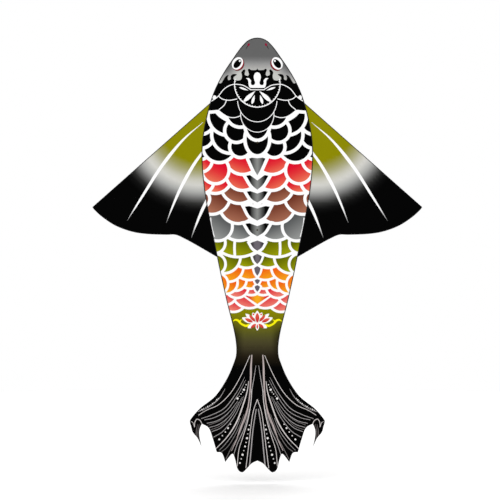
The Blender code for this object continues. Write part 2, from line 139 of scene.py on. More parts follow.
HINGE = {}
for word, side in SIDES:
    joint = next(j for j in frame["joints"] if j["name"] == "wing_fold_" + word)
    place, along = Vector(joint["pos_m"]), Vector(joint["axis"])
    outward = along.cross(Vector((0, 1, 0)))
    HINGE[word] = (place, outward if outward.x * side > 0 else -outward)
SEAM = next(j for j in frame["joints"] if j["name"] == "tail_wave")["pos_m"][2]
BODY_EDGE = edge_of("body_sail")


# ---- lines and shapes, in mm


def flowing(points, step=3.0, closed=False):
    """Points along a smooth line through the given ones, about one step apart."""
    p = [np.array(q, float) for q in points]
    n, out = len(p), []
    for i in range(n if closed else n - 1):
        b, c = p[i], p[(i + 1) % n]
        a = p[i - 1] if closed or i else b - (c - b)
        d = p[(i + 2) % n] if closed or i + 2 < n else c + (c - b)
        pieces = max(2, int(np.linalg.norm(c - b) / step))
        for k in range(pieces):
            t = k / pieces
            out.append(0.5 * (2 * b + (c - a) * t + (2 * a - 5 * b + 4 * c - d) * t**2
                              + (3 * b - a - 3 * c + d) * t**3))
    if not closed:
        out.append(p[-1])
    return [tuple(q) for q in out]


def disc(x, z, r, rz=None, turn=0.0, step=2.5):
    """A round or oval patch; turn tips its top outwards, in degrees."""
    rz, turn = rz or r, math.radians(turn)
    count = max(10, int(2 * math.pi * max(r, rz) / step))
    loop = []
    for k in range(count):
        a = 2 * math.pi * k / count
        u, v = r * math.cos(a), rz * math.sin(a)
        loop.append((x + u * math.cos(turn) + v * math.sin(turn),
                     z - u * math.sin(turn) + v * math.cos(turn)))
    return loop


def leaf(start, end, width, belly=0.5):
    """A pointed petal between two points, widest at belly."""
    a, b = np.array(start, float), np.array(end, float)
    across = np.array((a[1] - b[1], b[0] - a[0])) / np.linalg.norm(b - a)
    one, two = [], []
    for k in range(1, 14):
        t = k / 14
        w = width / 2 * math.sin(math.pi * t ** (math.log(0.5) / math.log(belly))) ** 0.8
        one.append(tuple(a + (b - a) * t + across * w))
        two.append(tuple(a + (b - a) * t - across * w))
    return [tuple(a)] + two + [tuple(b)] + one[::-1]


def ribbon(points, widths, step=4.0):
    """A line of changing width through points; widths are spread evenly along it."""
    line = np.array(flowing(points, step))
    run = np.concatenate(([0], np.cumsum(np.linalg.norm(np.diff(line, axis=0), axis=1))))
    w = np.interp(run / run[-1], np.linspace(0, 1, len(widths)), widths) / 2
    way = np.gradient(line, axis=0)
    way /= np.linalg.norm(way, axis=1)[:, None]
    across = np.stack((-way[:, 1], way[:, 0]), 1) * w[:, None]
    return [tuple(q) for q in line - across] + [tuple(q) for q in (line + across)[::-1]]


def arc(x, z, r, first, last):
    """Points along part of a circle, from one angle to another in degrees."""
    span = np.radians(np.linspace(first, last, 24))
    return [(x + r * math.cos(a), z + r * math.sin(a)) for a in span]


def offset(loop, distance):
    """The loop moved outwards by a distance, or inwards by a negative one."""
    p = np.array(loop, float)
    before, after = p - np.roll(p, 1, 0), np.roll(p, -1, 0) - p
    before /= np.linalg.norm(before, axis=1)[:, None]
    after /= np.linalg.norm(after, axis=1)[:, None]
    way = before + after
    way /= np.maximum(np.linalg.norm(way, axis=1), 1e-6)[:, None]
    reach = distance / np.clip((way * after).sum(1), 0.55, 1)
    return [tuple(q) for q in p + np.stack((way[:, 1], -way[:, 0]), 1) * reach[:, None]]


def divided(loop, longest):
    """The loop with points added wherever two are further apart than longest."""
    out = []
    for (ax, az), (bx, bz) in zip(loop, loop[1:] + loop[:1]):
        pieces = math.ceil(math.hypot(bx - ax, bz - az) / longest) or 1
        out += [(ax + (bx - ax) * k / pieces, az + (bz - az) * k / pieces) for k in range(pieces)]
    return out


def anticlockwise(loop):
    x, z = np.array(loop).T
    return loop if (x * np.roll(z, -1) - z * np.roll(x, -1)).sum() > 0 else loop[::-1]


def area_of(loop):
    x, z = np.array(loop).T
    return abs((x * np.roll(z, -1) - z * np.roll(x, -1)).sum()) / 2


def right_half(loop):
    """What of a loop lies to the right of the middle line."""
    out = []
    for (ax, az), (bx, bz) in zip(loop, loop[1:] + loop[:1]):
        if ax >= 0:
            out.append((ax, az))
        if (ax > 0) != (bx > 0) and ax != bx:
            out.append((0.0, az + (bz - az) * ax / (ax - bx)))
    return out


def mirrored(half):
    """A whole loop from its right half, given from top to bottom."""
    return half + [(-x, z) for x, z in half[::-1] if x > 0.01]


def rounded_edge(loop, step=7.0, corner=24.0):
    """The loop with more points, bent smoothly through all but its corners."""
    p = [np.array(q) for q in loop]
    n = len(p)
    way, length = [], []
    for a, b in zip(p, p[1:] + p[:1]):
        length.append(np.linalg.norm(b - a))
        way.append((b - a) / length[-1])
    turn = [math.degrees(math.acos(np.clip(way[i - 1] @ way[i], -1, 1))) for i in range(n)]

    def heading(i, along):
        if turn[i % n] > corner:
            return way[along]
        d = way[i % n - 1] * length[i % n - 1] + way[i % n] * length[i % n]
        return d / np.linalg.norm(d)

    out = []
    for i in range(n):
        a, b, m, q = p[i], p[(i + 1) % n], heading(i, i), heading(i + 1, i)
        pieces = max(1, round(length[i] / step))
        for k in range(pieces):
            t = k / pieces
            out.append(tuple((2 * t**3 - 3 * t**2 + 1) * a + (t**3 - 2 * t**2 + t) * m * length[i]
                             + (3 * t**2 - 2 * t**3) * b + (t**3 - t**2) * q * length[i]))
    return out


# ---- inks and artwork


def ink(code):
    """A colour written as six hexadecimal digits, as scene-linear red, green and blue."""
    values = [int(code[i : i + 2], 16) / 255 for i in (0, 2, 4)]
    return tuple(v / 12.92 if v <= 0.04045 else ((v + 0.055) / 1.055) ** 2.4 for v in values)


def blended(first, last, t):
    t = min(max(t, 0.0), 1.0)
    return tuple(a + (b - a) * t for a, b in zip(first, last))


def along_stops(stops, t):
    """The colour at t between stops of (place, colour)."""
    for (a, first), (b, last) in zip(stops, stops[1:]):
        if t < b:
            return blended(first, last, (t - a) / (b - a))
    return stops[-1][1]


class Fade:
    """Ink from first, above and inside, to last, below and outside, over what shows of a shape."""

    def __init__(self, first, last, lean=0.3, ease=1.3):
        self.first, self.last, self.lean, self.ease = first, last, lean, ease

    def fit(self, points):
        self.low_x, self.low_z = np.min(points, axis=0)
        self.high_x, self.high_z = np.max(points, axis=0)

    def __call__(self, x, z):
        down = (self.high_z - z) / (self.high_z - self.low_z + 1e-6)
        out = (x - self.low_x) / (self.high_x - self.low_x + 1e-6)
        t = (1 - self.lean) * down + self.lean * out * 1.3 - 0.08
        return blended(self.first, self.last, max(t, 0.0) ** self.ease)


class Artwork:
    """Shapes printed over each other on a cloth, the later on top."""

    def __init__(self):
        self.loops, self.inks = [], []

    def one(self, loop, colour):
        self.loops.append(anticlockwise(loop))
        self.inks.append(colour)

    def pair(self, loop, colour):
        half = right_half(loop)
        if len(half) > 2:
            self.one(half, colour)
            self.one([(-x, z) for x, z in half], colour)

    def outlined(self, loop, colour, rim, white, pair=True):
        """A shape with a rim of another ink round it."""
        lay = self.pair if pair else self.one
        lay(offset(anticlockwise(loop), rim), white)
        lay(loop, colour)

    def scale(self, x, z, r, first, last, rim, white, ease=1.3):
        """One round scale and its mirror image."""
        self.pair(disc(x, z, r + rim), white)
        self.pair(disc(x, z, r), Fade(first, last, ease=ease))


def darkening(stops, start, over):
    """Inks that change down the cloth and darken towards its sides, over a stretch from start."""
    stops = [(down, ink(colour) if isinstance(colour, str) else colour) for down, colour in stops]
    return lambda x, z: blended(along_stops(stops, -z), ink("100d06"),
                                (x - 50) / 36 * smooth((z - start) / over))


# Each row of scales, from the tail up: the name of its inks, the width of its white rim, and its
# scales, the ones below first, each as distance from the middle, height and radius.
SCALE_ROWS = (
    ("berry", 9.2, ((88, -545, 46.4), (29, -515, 62.6))),
    ("berry", 9.2, ((118, -527, 38.7), (22, -493, 36.8), (75, -501, 39))),
    ("orange", 9.2, ((26, -466, 40.1), (79, -479, 34.6), (114, -488, 36.8))),
    ("orange", 9.2, ((29, -412, 61.9), (105, -431, 49.3), (147, -493, 35))),
    ("leaf", 9.9, ((40, -370, 58.9), (124, -392, 57.1), (155, -420, 33.1))),
    ("leaf", 10.3, ((70, -276, 112.7),)),
    ("slate", 11, ((67, -258, 70), (145, -281, 47.9))),
    ("rust", 11.4, ((70, -201, 64.1), (168, -168, 63), (67, -129, 61.9), (208, -180, 27.2))),
    ("crimson", 11.8, ((155, -98, 56), (54, -87, 56), (206, -114, 40.5))),
    ("crimson", 11.8, ((54, -24, 60), (154, -74, 44.2), (212, -36, 40.5))),
    ("black", 12.2, ((212, 7, 36.1), (140, 15, 55.2), (206, 52, 39), (212, 114, 51.2))),
    ("black", 12.2, ((99, 57, 63), (62, 12, 33.9), (107, 128, 68.1), (77, 71, 37.2))),
)
# The row of arrowheads down the back, from the tail up: top, notch, point, half width, width of the
# rim, and how full the sides are.
ARROWHEADS = (
    (-500, -497, -522, 10, 7, 0.6), (-477, -475, -494, 10, 7, 0.6),
    (-431, -427, -463, 12, 8, 0.6), (-387, -382, -420, 17, 8, 0.6),
    (-338, -333, -371, 25, 10, 0.6), (-269, -280, -318, 44, 11, 0.56),
    (-206, -215, -260, 46, 11, 0.6), (-151, -160, -193, 39, 12, 0.56),
    (-92, -112, -146, 41, 12, 0.5), (-28, -30, -93, 30, 12, 0.4),
)


def arrowhead(top, notch, point, half, full):
    """A pointed shield with a notched or peaked top, as a whole loop."""
    rise, height = top - notch, top - point
    if notch > top:
        crown = [(0, notch), (half * 0.7, top - 0.03 * height)]
        shoulder = (half, top - 0.16 * height)
    else:
        crown = flowing([(0, notch), (half * 0.3, notch + rise * 0.45), (half * 0.66, top)], 4)
        shoulder = (half, top - 0.05 * height)
    return mirrored(crown + flowing([shoulder, (half * full, top - 0.667 * height), (0, point)], 4))


COLLAR = (0, 242, 83.9)  # the round line under the chin: its middle and its radius


def head_artwork(art, c):
    """Head: a grey brow that drips into black, nostrils, eyes, crest, collar and petals."""
    brow = [(0, 301), (5, 295), (23, 295), (28, 299), (32, 299), (35, 295), (32, 285),
            (31, 278), (35, 273), (41, 274), (46, 278), (46, 285), (44, 292),
            (47, 297), (53, 294), (59, 286), (57, 277), (57, 267), (61, 259),
            (70, 256), (80, 257), (87, 261), (87, 268), (81, 273), (75, 278),
            (83, 280), (93, 278), (98, 271), (98, 262), (102, 258), (107, 258),
            (109, 264), (108, 271), (105, 275), (112, 275), (120, 267), (127, 255),
            (134, 246), (141, 247)]
    grey = flowing(brow, 2) + [(162, 258), (125, 405), (0, 442)]
    shades = [(-346, c.nose), (-331, ink("777777")), (-317, ink("989898")), (-306, ink("a6a5a3")),
              (-284, c.brow_light)]
    cheek = 42  # how much lower the shades lie on the cheeks than on the brow
    art.one(mirrored(grey), lambda x, z: along_stops(shades, -z - cheek * smooth((x - 58) / 60)))
    art.pair(leaf((30, 394), (43, 369), 3.3), ink("3a3032"))
    art.pair(disc(32, 388, 4.1, 5.5, -25), ink("8f1838"))
    x, z = 73, 319
    for x_by, z_by, r, rz, turn, step, colour in (
        (-3, -3.5, 21.4, 25.4, -32, 1.5, ink("4a4542")),
        (-2.5, -2.5, 20.6, 24.7, -32, 1.5, ink("8c1024")),
        (0, 0, 19.1, 24.3, -32, 1.5, c.white),
        (0, -1, 11.4, 19.1, -38, 1.2, c.black),
        (-8.5, 9, 3.5, 3.5, 0, 1.0, c.white),
    ):
        art.pair(disc(x + x_by, z + z_by, r, rz, turn, step), colour)
    thin = (3.1, 3.1)
    for shape in (
        ribbon([(0, 222), (26, 222)], thin),
        ribbon([(24, 222), (37, 230), (55, 239), (85, 242), (107, 235), (125, 222), (142, 200),
                (155, 189), (171, 179)], thin),
        disc(158, 194, 7.4, step=1.5),
        ribbon([(144, 200), (129, 188), (103, 183), (74, 188)], thin),
        ribbon([(113, 184), (122, 165), (142, 148)], thin),
    ):
        art.pair(shape, c.white)
    crest = [(0, 287), (9, 282), (13, 270), (11, 258), (8, 249), (10, 242), (15, 239), (21, 240),
             (24, 247), (23, 255), (27, 261), (32, 265), (41, 264), (36, 260), (33, 253), (32, 241),
             (29, 232), (23, 229), (0, 229)]
    art.one(mirrored(flowing(crest, 1.5)), c.white)
    _, middle, r = COLLAR
    art.pair(ribbon(arc(0, middle, r, -90, 14), (3.7, 3.7, 2.9)), c.white)
    dots = r - 3
    for k in range(14):
        a = math.radians(-84 + k * 7)
        art.pair(disc(dots * math.cos(a), middle + dots * math.sin(a), 1.5, step=1.2), c.white)
    for root, tip, width in (((7, 218), (51, 177), 14.7), ((10, 203), (20, 169), 10.3),
                             ((32, 219), (67, 231), 7)):
        art.pair(leaf(root, tip, width, 0.6), c.white)


def body_artwork(c):
    """The front of the body, from the tail up, so that each scale overlaps the one behind it."""
    art = Artwork()
    inks = {
        "berry": (ink("de1c38"), ink("f2907c")), "orange": (ink("f05f12"), c.orange),
        "leaf": (ink("545c00"), ink("a4a80a")), "slate": (ink("46484a"), ink("a0a2a0")),
        "rust": (ink("652718"), ink("b0735a")), "crimson": (c.crimson, c.salmon),
        "black": (c.black, c.black),
    }
    art.one([(-260, 144), (-260, -740), (260, -740), (260, 144)], c.black)
    ground = ((593, "878500"), (633, "72700f"), (677, "575622"), (703, "4a4628"), (725, "403b24"))
    art.one([(-200, -500), (-200, -740), (200, -740), (200, -500)], darkening(ground, -610, -90))
    for row, rim, scales in SCALE_ROWS:
        first, last = inks[row]
        for x, z, r in scales:
            art.scale(x, z, r, first, last, rim, c.white, 2.3 if row == "crimson" else 1.3)
        if row == "leaf" and len(scales) == 1:
            art.pair(ribbon([(82, -324), (84, -361), (82, -398)], (9.6, 9.6)), c.white)
            art.scale(156, -342, 33.1, first, last, rim, c.white)
        if row == "berry" and len(scales) == 2:
            art.outlined(mirrored([(0, -532), (46, -536), (0, -567)]),
                         lambda x, z: blended(c.orange, c.crimson, (x - 6) / 26), 9, c.white, False)
    for x, z, r in ((29, -193, 11.8), (18, -327, 8.1), (33, -330, 7.4), (133, -382, 7.4)):
        art.pair(disc(x, z, r), c.white)
    art.pair(ribbon([(172, -249), (169, -280), (158, -320)], (4, 5, 3)), c.white)
    shields = [(arrowhead(top, notch, point, half, full), half, rim)
               for top, notch, point, half, rim, full in ARROWHEADS]
    for shield, _, rim in shields:
        art.one(offset(anticlockwise(shield), rim), c.white)
    for number, (shield, half, _) in enumerate(shields):
        colour = ink("645e68")
        if number > 4:
            colour = lambda x, z: blended(ink("8a8c8a"), c.black, (x - 1) / 24)
        elif number > 2:
            colour = lambda x, z, half=half: blended(
                ink("6c666e"), ink("1a181a"), (x - half * 0.35) / (half * 0.5))
        art.one(shield, colour)
    nape = [(0, 430), (240, 430), (221, 141), (184, 145), (166, 146), (147, 148), (125, 136),
            (103, 147), (0, 166)]
    art.outlined(nape, c.black, 11.8, c.white)
    art.scale(63, 136, 46, c.black, c.black, 12.2, c.white)
    art.pair(ribbon([(153, 142), (138, 127), (122, 116), (105, 107)], (11, 12, 12)), c.white)
    art.pair(disc(122, 124, 5.9), c.white)
    lobe = flowing([(55, 129), (72, 122), (88, 119), (107, 122), (125, 132), (144, 147)], 4)
    art.pair(lobe + [(133, 184), (55, 184)], c.black)
    art.pair(ribbon(lobe, (3, 3)), c.white)
    for z, r, rz, rim in ((41, 39.4, 56.3, 12.9), (96, 40.5, 53.8, 12.5), (131, 60, 63.7, 2.6),
                          (184, 71.1, 78.8, 2.6)):
        art.one(disc(0, z, r + rim, rz + rim), c.white)
        art.one(disc(0, z, r, rz), c.black)
    art.one([(-150, 180), (-150, 430), (150, 430), (150, 180)], c.black)
    art.one(disc(*COLLAR), c.black)
    head_artwork(art, c)
    lotus_artwork(art, c)
    return art


def lotus_artwork(art, c):
    """A lotus on the root of the tail, with a curling stem on each side."""
    for points, widths in (
        ([(29, -644), (43, -647), (60, -639), (70, -628), (81, -625), (89, -630)],
         (9, 8.5, 7.5, 7, 8, 7, 2)),
        ([(64, -637), (62, -627), (54, -624)], (7, 4, 1)),
    ):
        art.pair(ribbon(points, widths, 1.6), c.yellow)
    petals = (  # each with its root, tip and width
        ((0, -636), (0, -599), 15.1), ((8, -632), (30, -607), 10.7), ((16, -634), (46, -620), 12.5),
        ((0, -641), (0, -659), 6.3), ((4, -640), (24, -655), 10.7),
    )
    backs = (
        ((0, -641), (0, -591), 20.6), ((4, -637), (44, -602), 15.5), ((9, -638), (57, -617), 18.4),
        ((0, -633), (0, -665), 12.5), ((0, -635), (36, -655), 16.2), ((7, -622), (17, -598), 13.3),
    )
    for root, tip, width in backs:
        art.pair(leaf(root, tip, width, 0.55), c.white)
    for root, tip, width in petals:
        art.pair(leaf(root, tip, width, 0.5), Fade(ink("e25a48"), ink("c0102a"), 0.0))
    art.pair(disc(14, -605, 3.3, step=1.2), c.crimson)


def tail_artwork(c):
    """Black tail with fine light rays that fan out from its root, and strings of dots."""
    art = Artwork()
    ground = ((725, "403b24"), (740, "342f1f"), (758, "231d12"), (781, "15110a"), (800, c.black))
    art.one([(-260, -700), (-260, -1200), (260, -1200), (260, -700)], darkening(ground, -800, 60))
    pale, fine, faint, dots = ink("d6d0ce"), ink("aaa6a6"), ink("7d7978"), ink("efecea")
    fan = (  # the points of each ray, its relative widths, and its ink
        (((27, -756), (61, -832), (98, -894), (143, -938), (187, -958), (217, -976)), (3, 4, 3),
         pale),
        (((46, -836), (75, -890), (119, -948), (169, -976), (207, -989)), (1.5, 4, 3), fine),
        (((43, -847), (70, -898), (110, -956), (158, -985), (195, -994)), (1.5, 3.4, 3), fine),
        (((72, -924), (107, -968), (147, -996), (186, -1007)), (2, 3.4, 3), fine),
        (((68, -928), (101, -978), (140, -1009), (177, -1022)), (1.5, 3.4, 3), fine),
        (((55, -909), (92, -978), (131, -1020), (168, -1037)), (1.5, 3.4, 3), fine),
        (((107, -971), (138, -996), (179, -1013)), (0.8, 2.6, 2.4), faint),
        (((103, -979), (133, -1013), (171, -1030)), (0.8, 2.6, 2.4), faint),
        (((50, -907), (81, -976), (122, -1031), (161, -1057)), (1.5, 3.4, 3.4), fine),
        (((20, -754), (23, -795), (24, -836), (27, -891), (34, -945), (46, -987), (61, -1023),
          (77, -1068), (95, -1108)), (6, 11, 8, 7, 12, 7, 3), ink("b9acaa")),
        (((32, -851), (37, -887), (51, -934), (75, -999), (109, -1054), (152, -1099)),
         (3, 7, 8, 6, 4), pale),
        (((5, -793), (11, -832), (22, -893)), (2, 4, 5), fine),
        (((0, -918), (17, -972), (30, -1074), (42, -1171)), (4, 4, 4), pale),
        (((20, -880), (24, -932), (35, -994), (52, -1053), (68, -1105), (74, -1164)),
         (4, 5, 3.6, 3.6), pale),
        (((30, -954), (48, -1024), (74, -1083), (94, -1145)), (2, 4, 3), fine),
        (((41, -972), (63, -1038), (94, -1094), (116, -1138)), (2, 3.6, 3), faint),
        (((48, -972), (74, -1035), (107, -1090), (133, -1112)), (2, 3.6, 3), faint),
        (((63, -987), (85, -1038), (118, -1083), (140, -1105)), (2, 3.4, 2), fine),
        (((119, -879), (134, -906), (155, -929), (187, -951), (219, -963)), (1.5, 4, 3, 3), fine),
        (((203, -1011), (210, -996), (222, -990), (230, -1002), (231, -1020)), (3.5, 4, 3), pale),
        (((231, -1020), (236, -1004), (244, -999)), (3, 3, 2), pale),
    )
    fineness = 0.64
    for points, widths, colour in fan:
        art.pair(ribbon(points, [fineness * w for w in widths], 7.0), colour)
    art.pair(ribbon([(4, -954), (16, -1031), (23, -1105), (29, -1164)], (3, 4, 4), 7.0), fine)
    strings = (  # strings of dots: three points, how many, and the sizes they take in turn
        (((41, -864), (53, -889), (73, -915)), 7, (2.4, 1.6, 4.6, 2)),
        (((99, -1010), (116, -1036), (140, -1065)), 5, (2.6, 3.8, 2.8)),
        (((29, -1013), (43, -1083), (64, -1152)), 10, (2.4, 3.6, 2, 4.4)),
        (((144, -915), (169, -937), (210, -958)), 12, (1.8, 2.6, 1.4)),
    )
    for points, count, sizes in strings:
        line = flowing(points, 1.0)
        for k in range(count):
            x, z = line[round(k * (len(line) - 1) / (count - 1))]
            art.pair(disc(x, z, 0.9 * sizes[k % len(sizes)], step=1.5), dots)
    for x in (208, 213.9, 219.8):
        art.pair(ribbon([(x, -1009), (x + 5, -1038), (x + 3, -1071)], (1, 3, 1)), ink("6a6464"))
    return art


def wing_artwork(side, c):
    """One wing: olive by the body, a soft light band, black outside, and three white rays."""
    art = Artwork()
    stops = [(r, blended(c.olive, c.band, t)) for r, t in (
        (165.7, 0), (191.5, 0.2), (209.9, 0.45), (228.3, 0.8), (246.7, 1))]
    stops += [(r, ink(code)) for r, code in (
        (272.5, "aeafac"), (290.9, "7e7e7d"), (301.9, "5c5c5b"), (314.8, "30302f"),
        (331.4, "101010"))]
    stops.append((353.5, c.black))
    art.one([(side * 120, 230), (side * 620, 230), (side * 620, -420), (side * 120, -420)],
            lambda x, z: along_stops(stops, math.hypot(x - 206, z - 118)))
    rays = (
        (((199, 103), (276, 35), (352, -59), (418, -162), (479, -260)), (0.8, 8, 14.5, 13, 9, 1)),
        (((166, 44), (201, -7), (236, -57), (280, -136), (311, -206), (335, -268)),
         (1, 10, 12.5, 14.5, 12, 7, 1)),
        (((151, -110), (179, -171), (206, -228), (228, -282), (243, -323)), (1, 13, 13, 8, 1)),
    )
    fineness = 0.86
    for points, widths in rays:
        loop = ribbon([(side * x, z) for x, z in points], [fineness * w for w in widths], 7.0)
        art.one(loop, lambda x, z, tip=points[-1]: blended(
            ink("6d6d6d"), c.white, math.hypot(x - tip[0], z - tip[1]) / 60 + 0.05))
    return art


# ---- how the cloth lies, in mm


RIGHT_EDGE = np.array(sorted((z, x) for x, z in BODY_EDGE if x > 0)).T
SEAM_Z = SEAM / MM


def smooth(t):
    t = min(max(t, 0.0), 1.0)
    return t * t * (3 - 2 * t)


def wrinkle(x, z, size, seed):
    return noise.noise(Vector((x / size, z / size, seed)))


def body_lie(x, z, depth):
    """The body is held by the spine and its edges, and fills a little with wind between them."""
    across = min(abs(x) / np.interp(z, *RIGHT_EDGE), 1.0)
    ends = smooth((z - SEAM_Z - 8) / 130) * smooth((392 - z) / 170)
    strut = abs((abs(x) - 5) * 0.664 + (z - 317) * 0.748)  # how far from a head strut's line
    held = 0.3 + 0.7 * (1 - math.exp(-((strut / 30) ** 2)))
    full = math.sin(math.pi * across) ** 1.6 * ends
    creases = 0.7 * wrinkle(abs(x), z, 55, 3.1 if x > 0 else 7.7)
    return -0.25 - 0.35 * smooth(across * 3 - 2) - full * (depth * held + creases)


def beyond_fold(x, z, word):
    """How far out from a wing's fold a point lies."""
    place, outward = HINGE[word]
    return (x - place.x / MM) * outward.x + (z - place.z / MM) * outward.z


def wing_lie(x, z, word, depth):
    """A wing is held along its rod and its hinge, and its hind edge is free to flutter."""
    out = beyond_fold(x, z, word)
    below = (155 - z) * 0.749 - (abs(x) - 188) * 0.663  # how far below the leading-edge rod
    clear = out - 56  # the body's edge covers the cloth up to here, so it stays flat
    full = math.sin(math.pi * min(max(clear, 0) / 374, 1)) ** 1.3 * smooth(below / 150)
    flutter = math.sin(out / 15 + below / 90) * smooth((below - 110) / 170) * smooth(clear / 70)
    creases = wrinkle(x, z, 60, 11.0) * smooth(below / 60) * smooth(clear / 60)
    return 0.7 - depth * full + 2.0 * flutter * smooth((470 - out) / 100) + 0.7 * creases


def tail_lie(x, z, depth):
    """The tail hangs from its seam in soft folds that grow towards its tips."""
    down = SEAM_Z - z
    width = 52 + 0.16 * down  # the folds widen towards the tips
    fold = math.cos(abs(x) * 2 * math.pi / width + 0.6)
    return 0.7 + depth * smooth(down / 330) * fold


# ---- making pieces


def mm_line(line):
    """The ends, radius and length of a node's middle line, in mm."""
    return [p / MM for p in line[:2]], line[2] / MM, (line[1] - line[0]).length / MM


def finish_of(name):
    return bpy.data.materials[name]


def piece(name, points, faces, finishes, which=None, inks=None, flat=None, sharp=38.0):
    """A mesh object from points in mm, with its finishes, printed inks and flat coordinates."""
    mesh = bpy.data.meshes.new(name)
    mesh.from_pydata([(x * MM, y * MM, z * MM) for x, y, z in points], [], faces)
    for finish in finishes:
        mesh.materials.append(finish_of(finish))
    if which:
        mesh.polygons.foreach_set("material_index", which)
    flat = flat or [(x, z) for x, _, z in points]
    layer = mesh.uv_layers.new(name="cloth")
    order = np.zeros(len(mesh.loops), int)
    mesh.loops.foreach_get("vertex_index", order)
    layer.data.foreach_set("uv", (np.array(flat, np.float32)[order] * MM).ravel())
    if inks:
        colours = mesh.color_attributes.new("ink", "FLOAT_COLOR", "CORNER")
        colours.data.foreach_set("color", np.array([(*c, 1.0) for c in inks], np.float32).ravel())
    mesh.shade_smooth()
    mesh.set_sharp_from_angle(angle=math.radians(sharp))
    mesh.update()
    made = bpy.data.objects.new(name, mesh)
    bpy.context.scene.collection.objects.link(made)
    return made


def inside(points, loop):
    """Which points lie inside a loop."""
    x, z = np.array(points).T
    hit = np.zeros(len(x), bool)
    for (ax, az), (bx, bz) in zip(loop, loop[1:] + loop[:1]):
        if az != bz:
            hit ^= ((az > z) != (bz > z)) & (x < (bx - ax) * (z - az) / (bz - az) + ax)
    return hit


def edge_distance(points, loop):
    """How far each point is from a loop."""
    p, best = np.array(points), np.full(len(points), 1e9)
    for a, b in zip(loop, loop[1:] + loop[:1]):
        a, way = np.array(a), np.array(b) - np.array(a)
        t = np.clip((p - a) @ way / max(way @ way, 1e-9), 0, 1)
        best = np.minimum(best, np.hypot(*(p - a - t[:, None] * way).T))
    return best


def well_inside(points, loop, gap):
    """The points that lie inside a loop and more than gap away from it."""
    far, ok = edge_distance(points, loop), inside(points, loop)
    return [p for p, d, within in zip(points, far, ok) if within and d > gap]


def spaced(loop, step):
    """Points every step along a closed loop, with the way it runs at each."""
    p = np.array(loop + loop[:1])
    run = np.concatenate(([0], np.cumsum(np.hypot(*np.diff(p, axis=0).T))))
    at = np.arange(0, run[-1] - step / 2, step)
    x, z = np.interp(at, run, p[:, 0]), np.interp(at, run, p[:, 1])
    index = np.clip(np.searchsorted(run, at, "right") - 1, 0, len(loop) - 1)
    way = np.diff(p, axis=0)[index]
    return np.stack((x, z), 1), way / np.hypot(*way.T)[:, None]


def faced_outward(made):
    """Turn every face of a closed piece outwards."""
    bm = bmesh.new()
    bm.from_mesh(made.data)
    bmesh.ops.recalc_face_normals(bm, faces=bm.faces)
    bm.to_mesh(made.data)
    bm.free()
    return made


def fitted(made, node, body=None):
    """Put a piece in place of its node and on the body it rides."""
    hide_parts(node)
    if body:
        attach(made, body)
    return made


# A stitch: its corners as along, across and high, from -1 to 1, and its faces.
STITCH = ((-1, 0, -0.1), (1, 0, -0.1), (0.25, 1, 0.2), (-0.25, 1, 0.2), (0.25, -1, 0.2),
          (-0.25, -1, 0.2), (0.2, 0, 1), (-0.2, 0, 1))
STITCH_FACES = ((0, 3, 7), (0, 7, 5), (1, 6, 2), (1, 4, 6), (3, 2, 6), (3, 6, 7), (5, 7, 6),
                (5, 6, 4), (0, 5, 3), (1, 2, 4), (3, 5, 4), (3, 4, 2))


class Thread:
    """Rows of small raised stitches, added to a piece's points and faces."""

    def __init__(self, points, faces):
        self.points, self.faces, self.made = points, faces, 0

    def stitch(self, x, y, z, way, up, length=2.7, width=0.26, height=0.2):
        """One stitch on a point of the cloth, along way, standing up by height."""
        first = len(self.points)
        wx, wz = way
        for along, across, high in STITCH:
            a, c = along * length / 2, across * width
            self.points.append((x + wx * a - wz * c, y + up * high * height, z + wz * a + wx * c))
        for a, b, c in STITCH_FACES:
            b, c = (c, b) if up < 0 else (b, c)
            self.faces.append((first + a, first + b, first + c))
        self.made += len(STITCH_FACES)


HEM_FOLD = 0.9  # how far the hem takes to step up from the cloth
CLEAR = 0.93  # stitches closer to the edge than this share of their distance are left out
BAND_INK = "1e1e1e"  # the dark bias tape round a sail


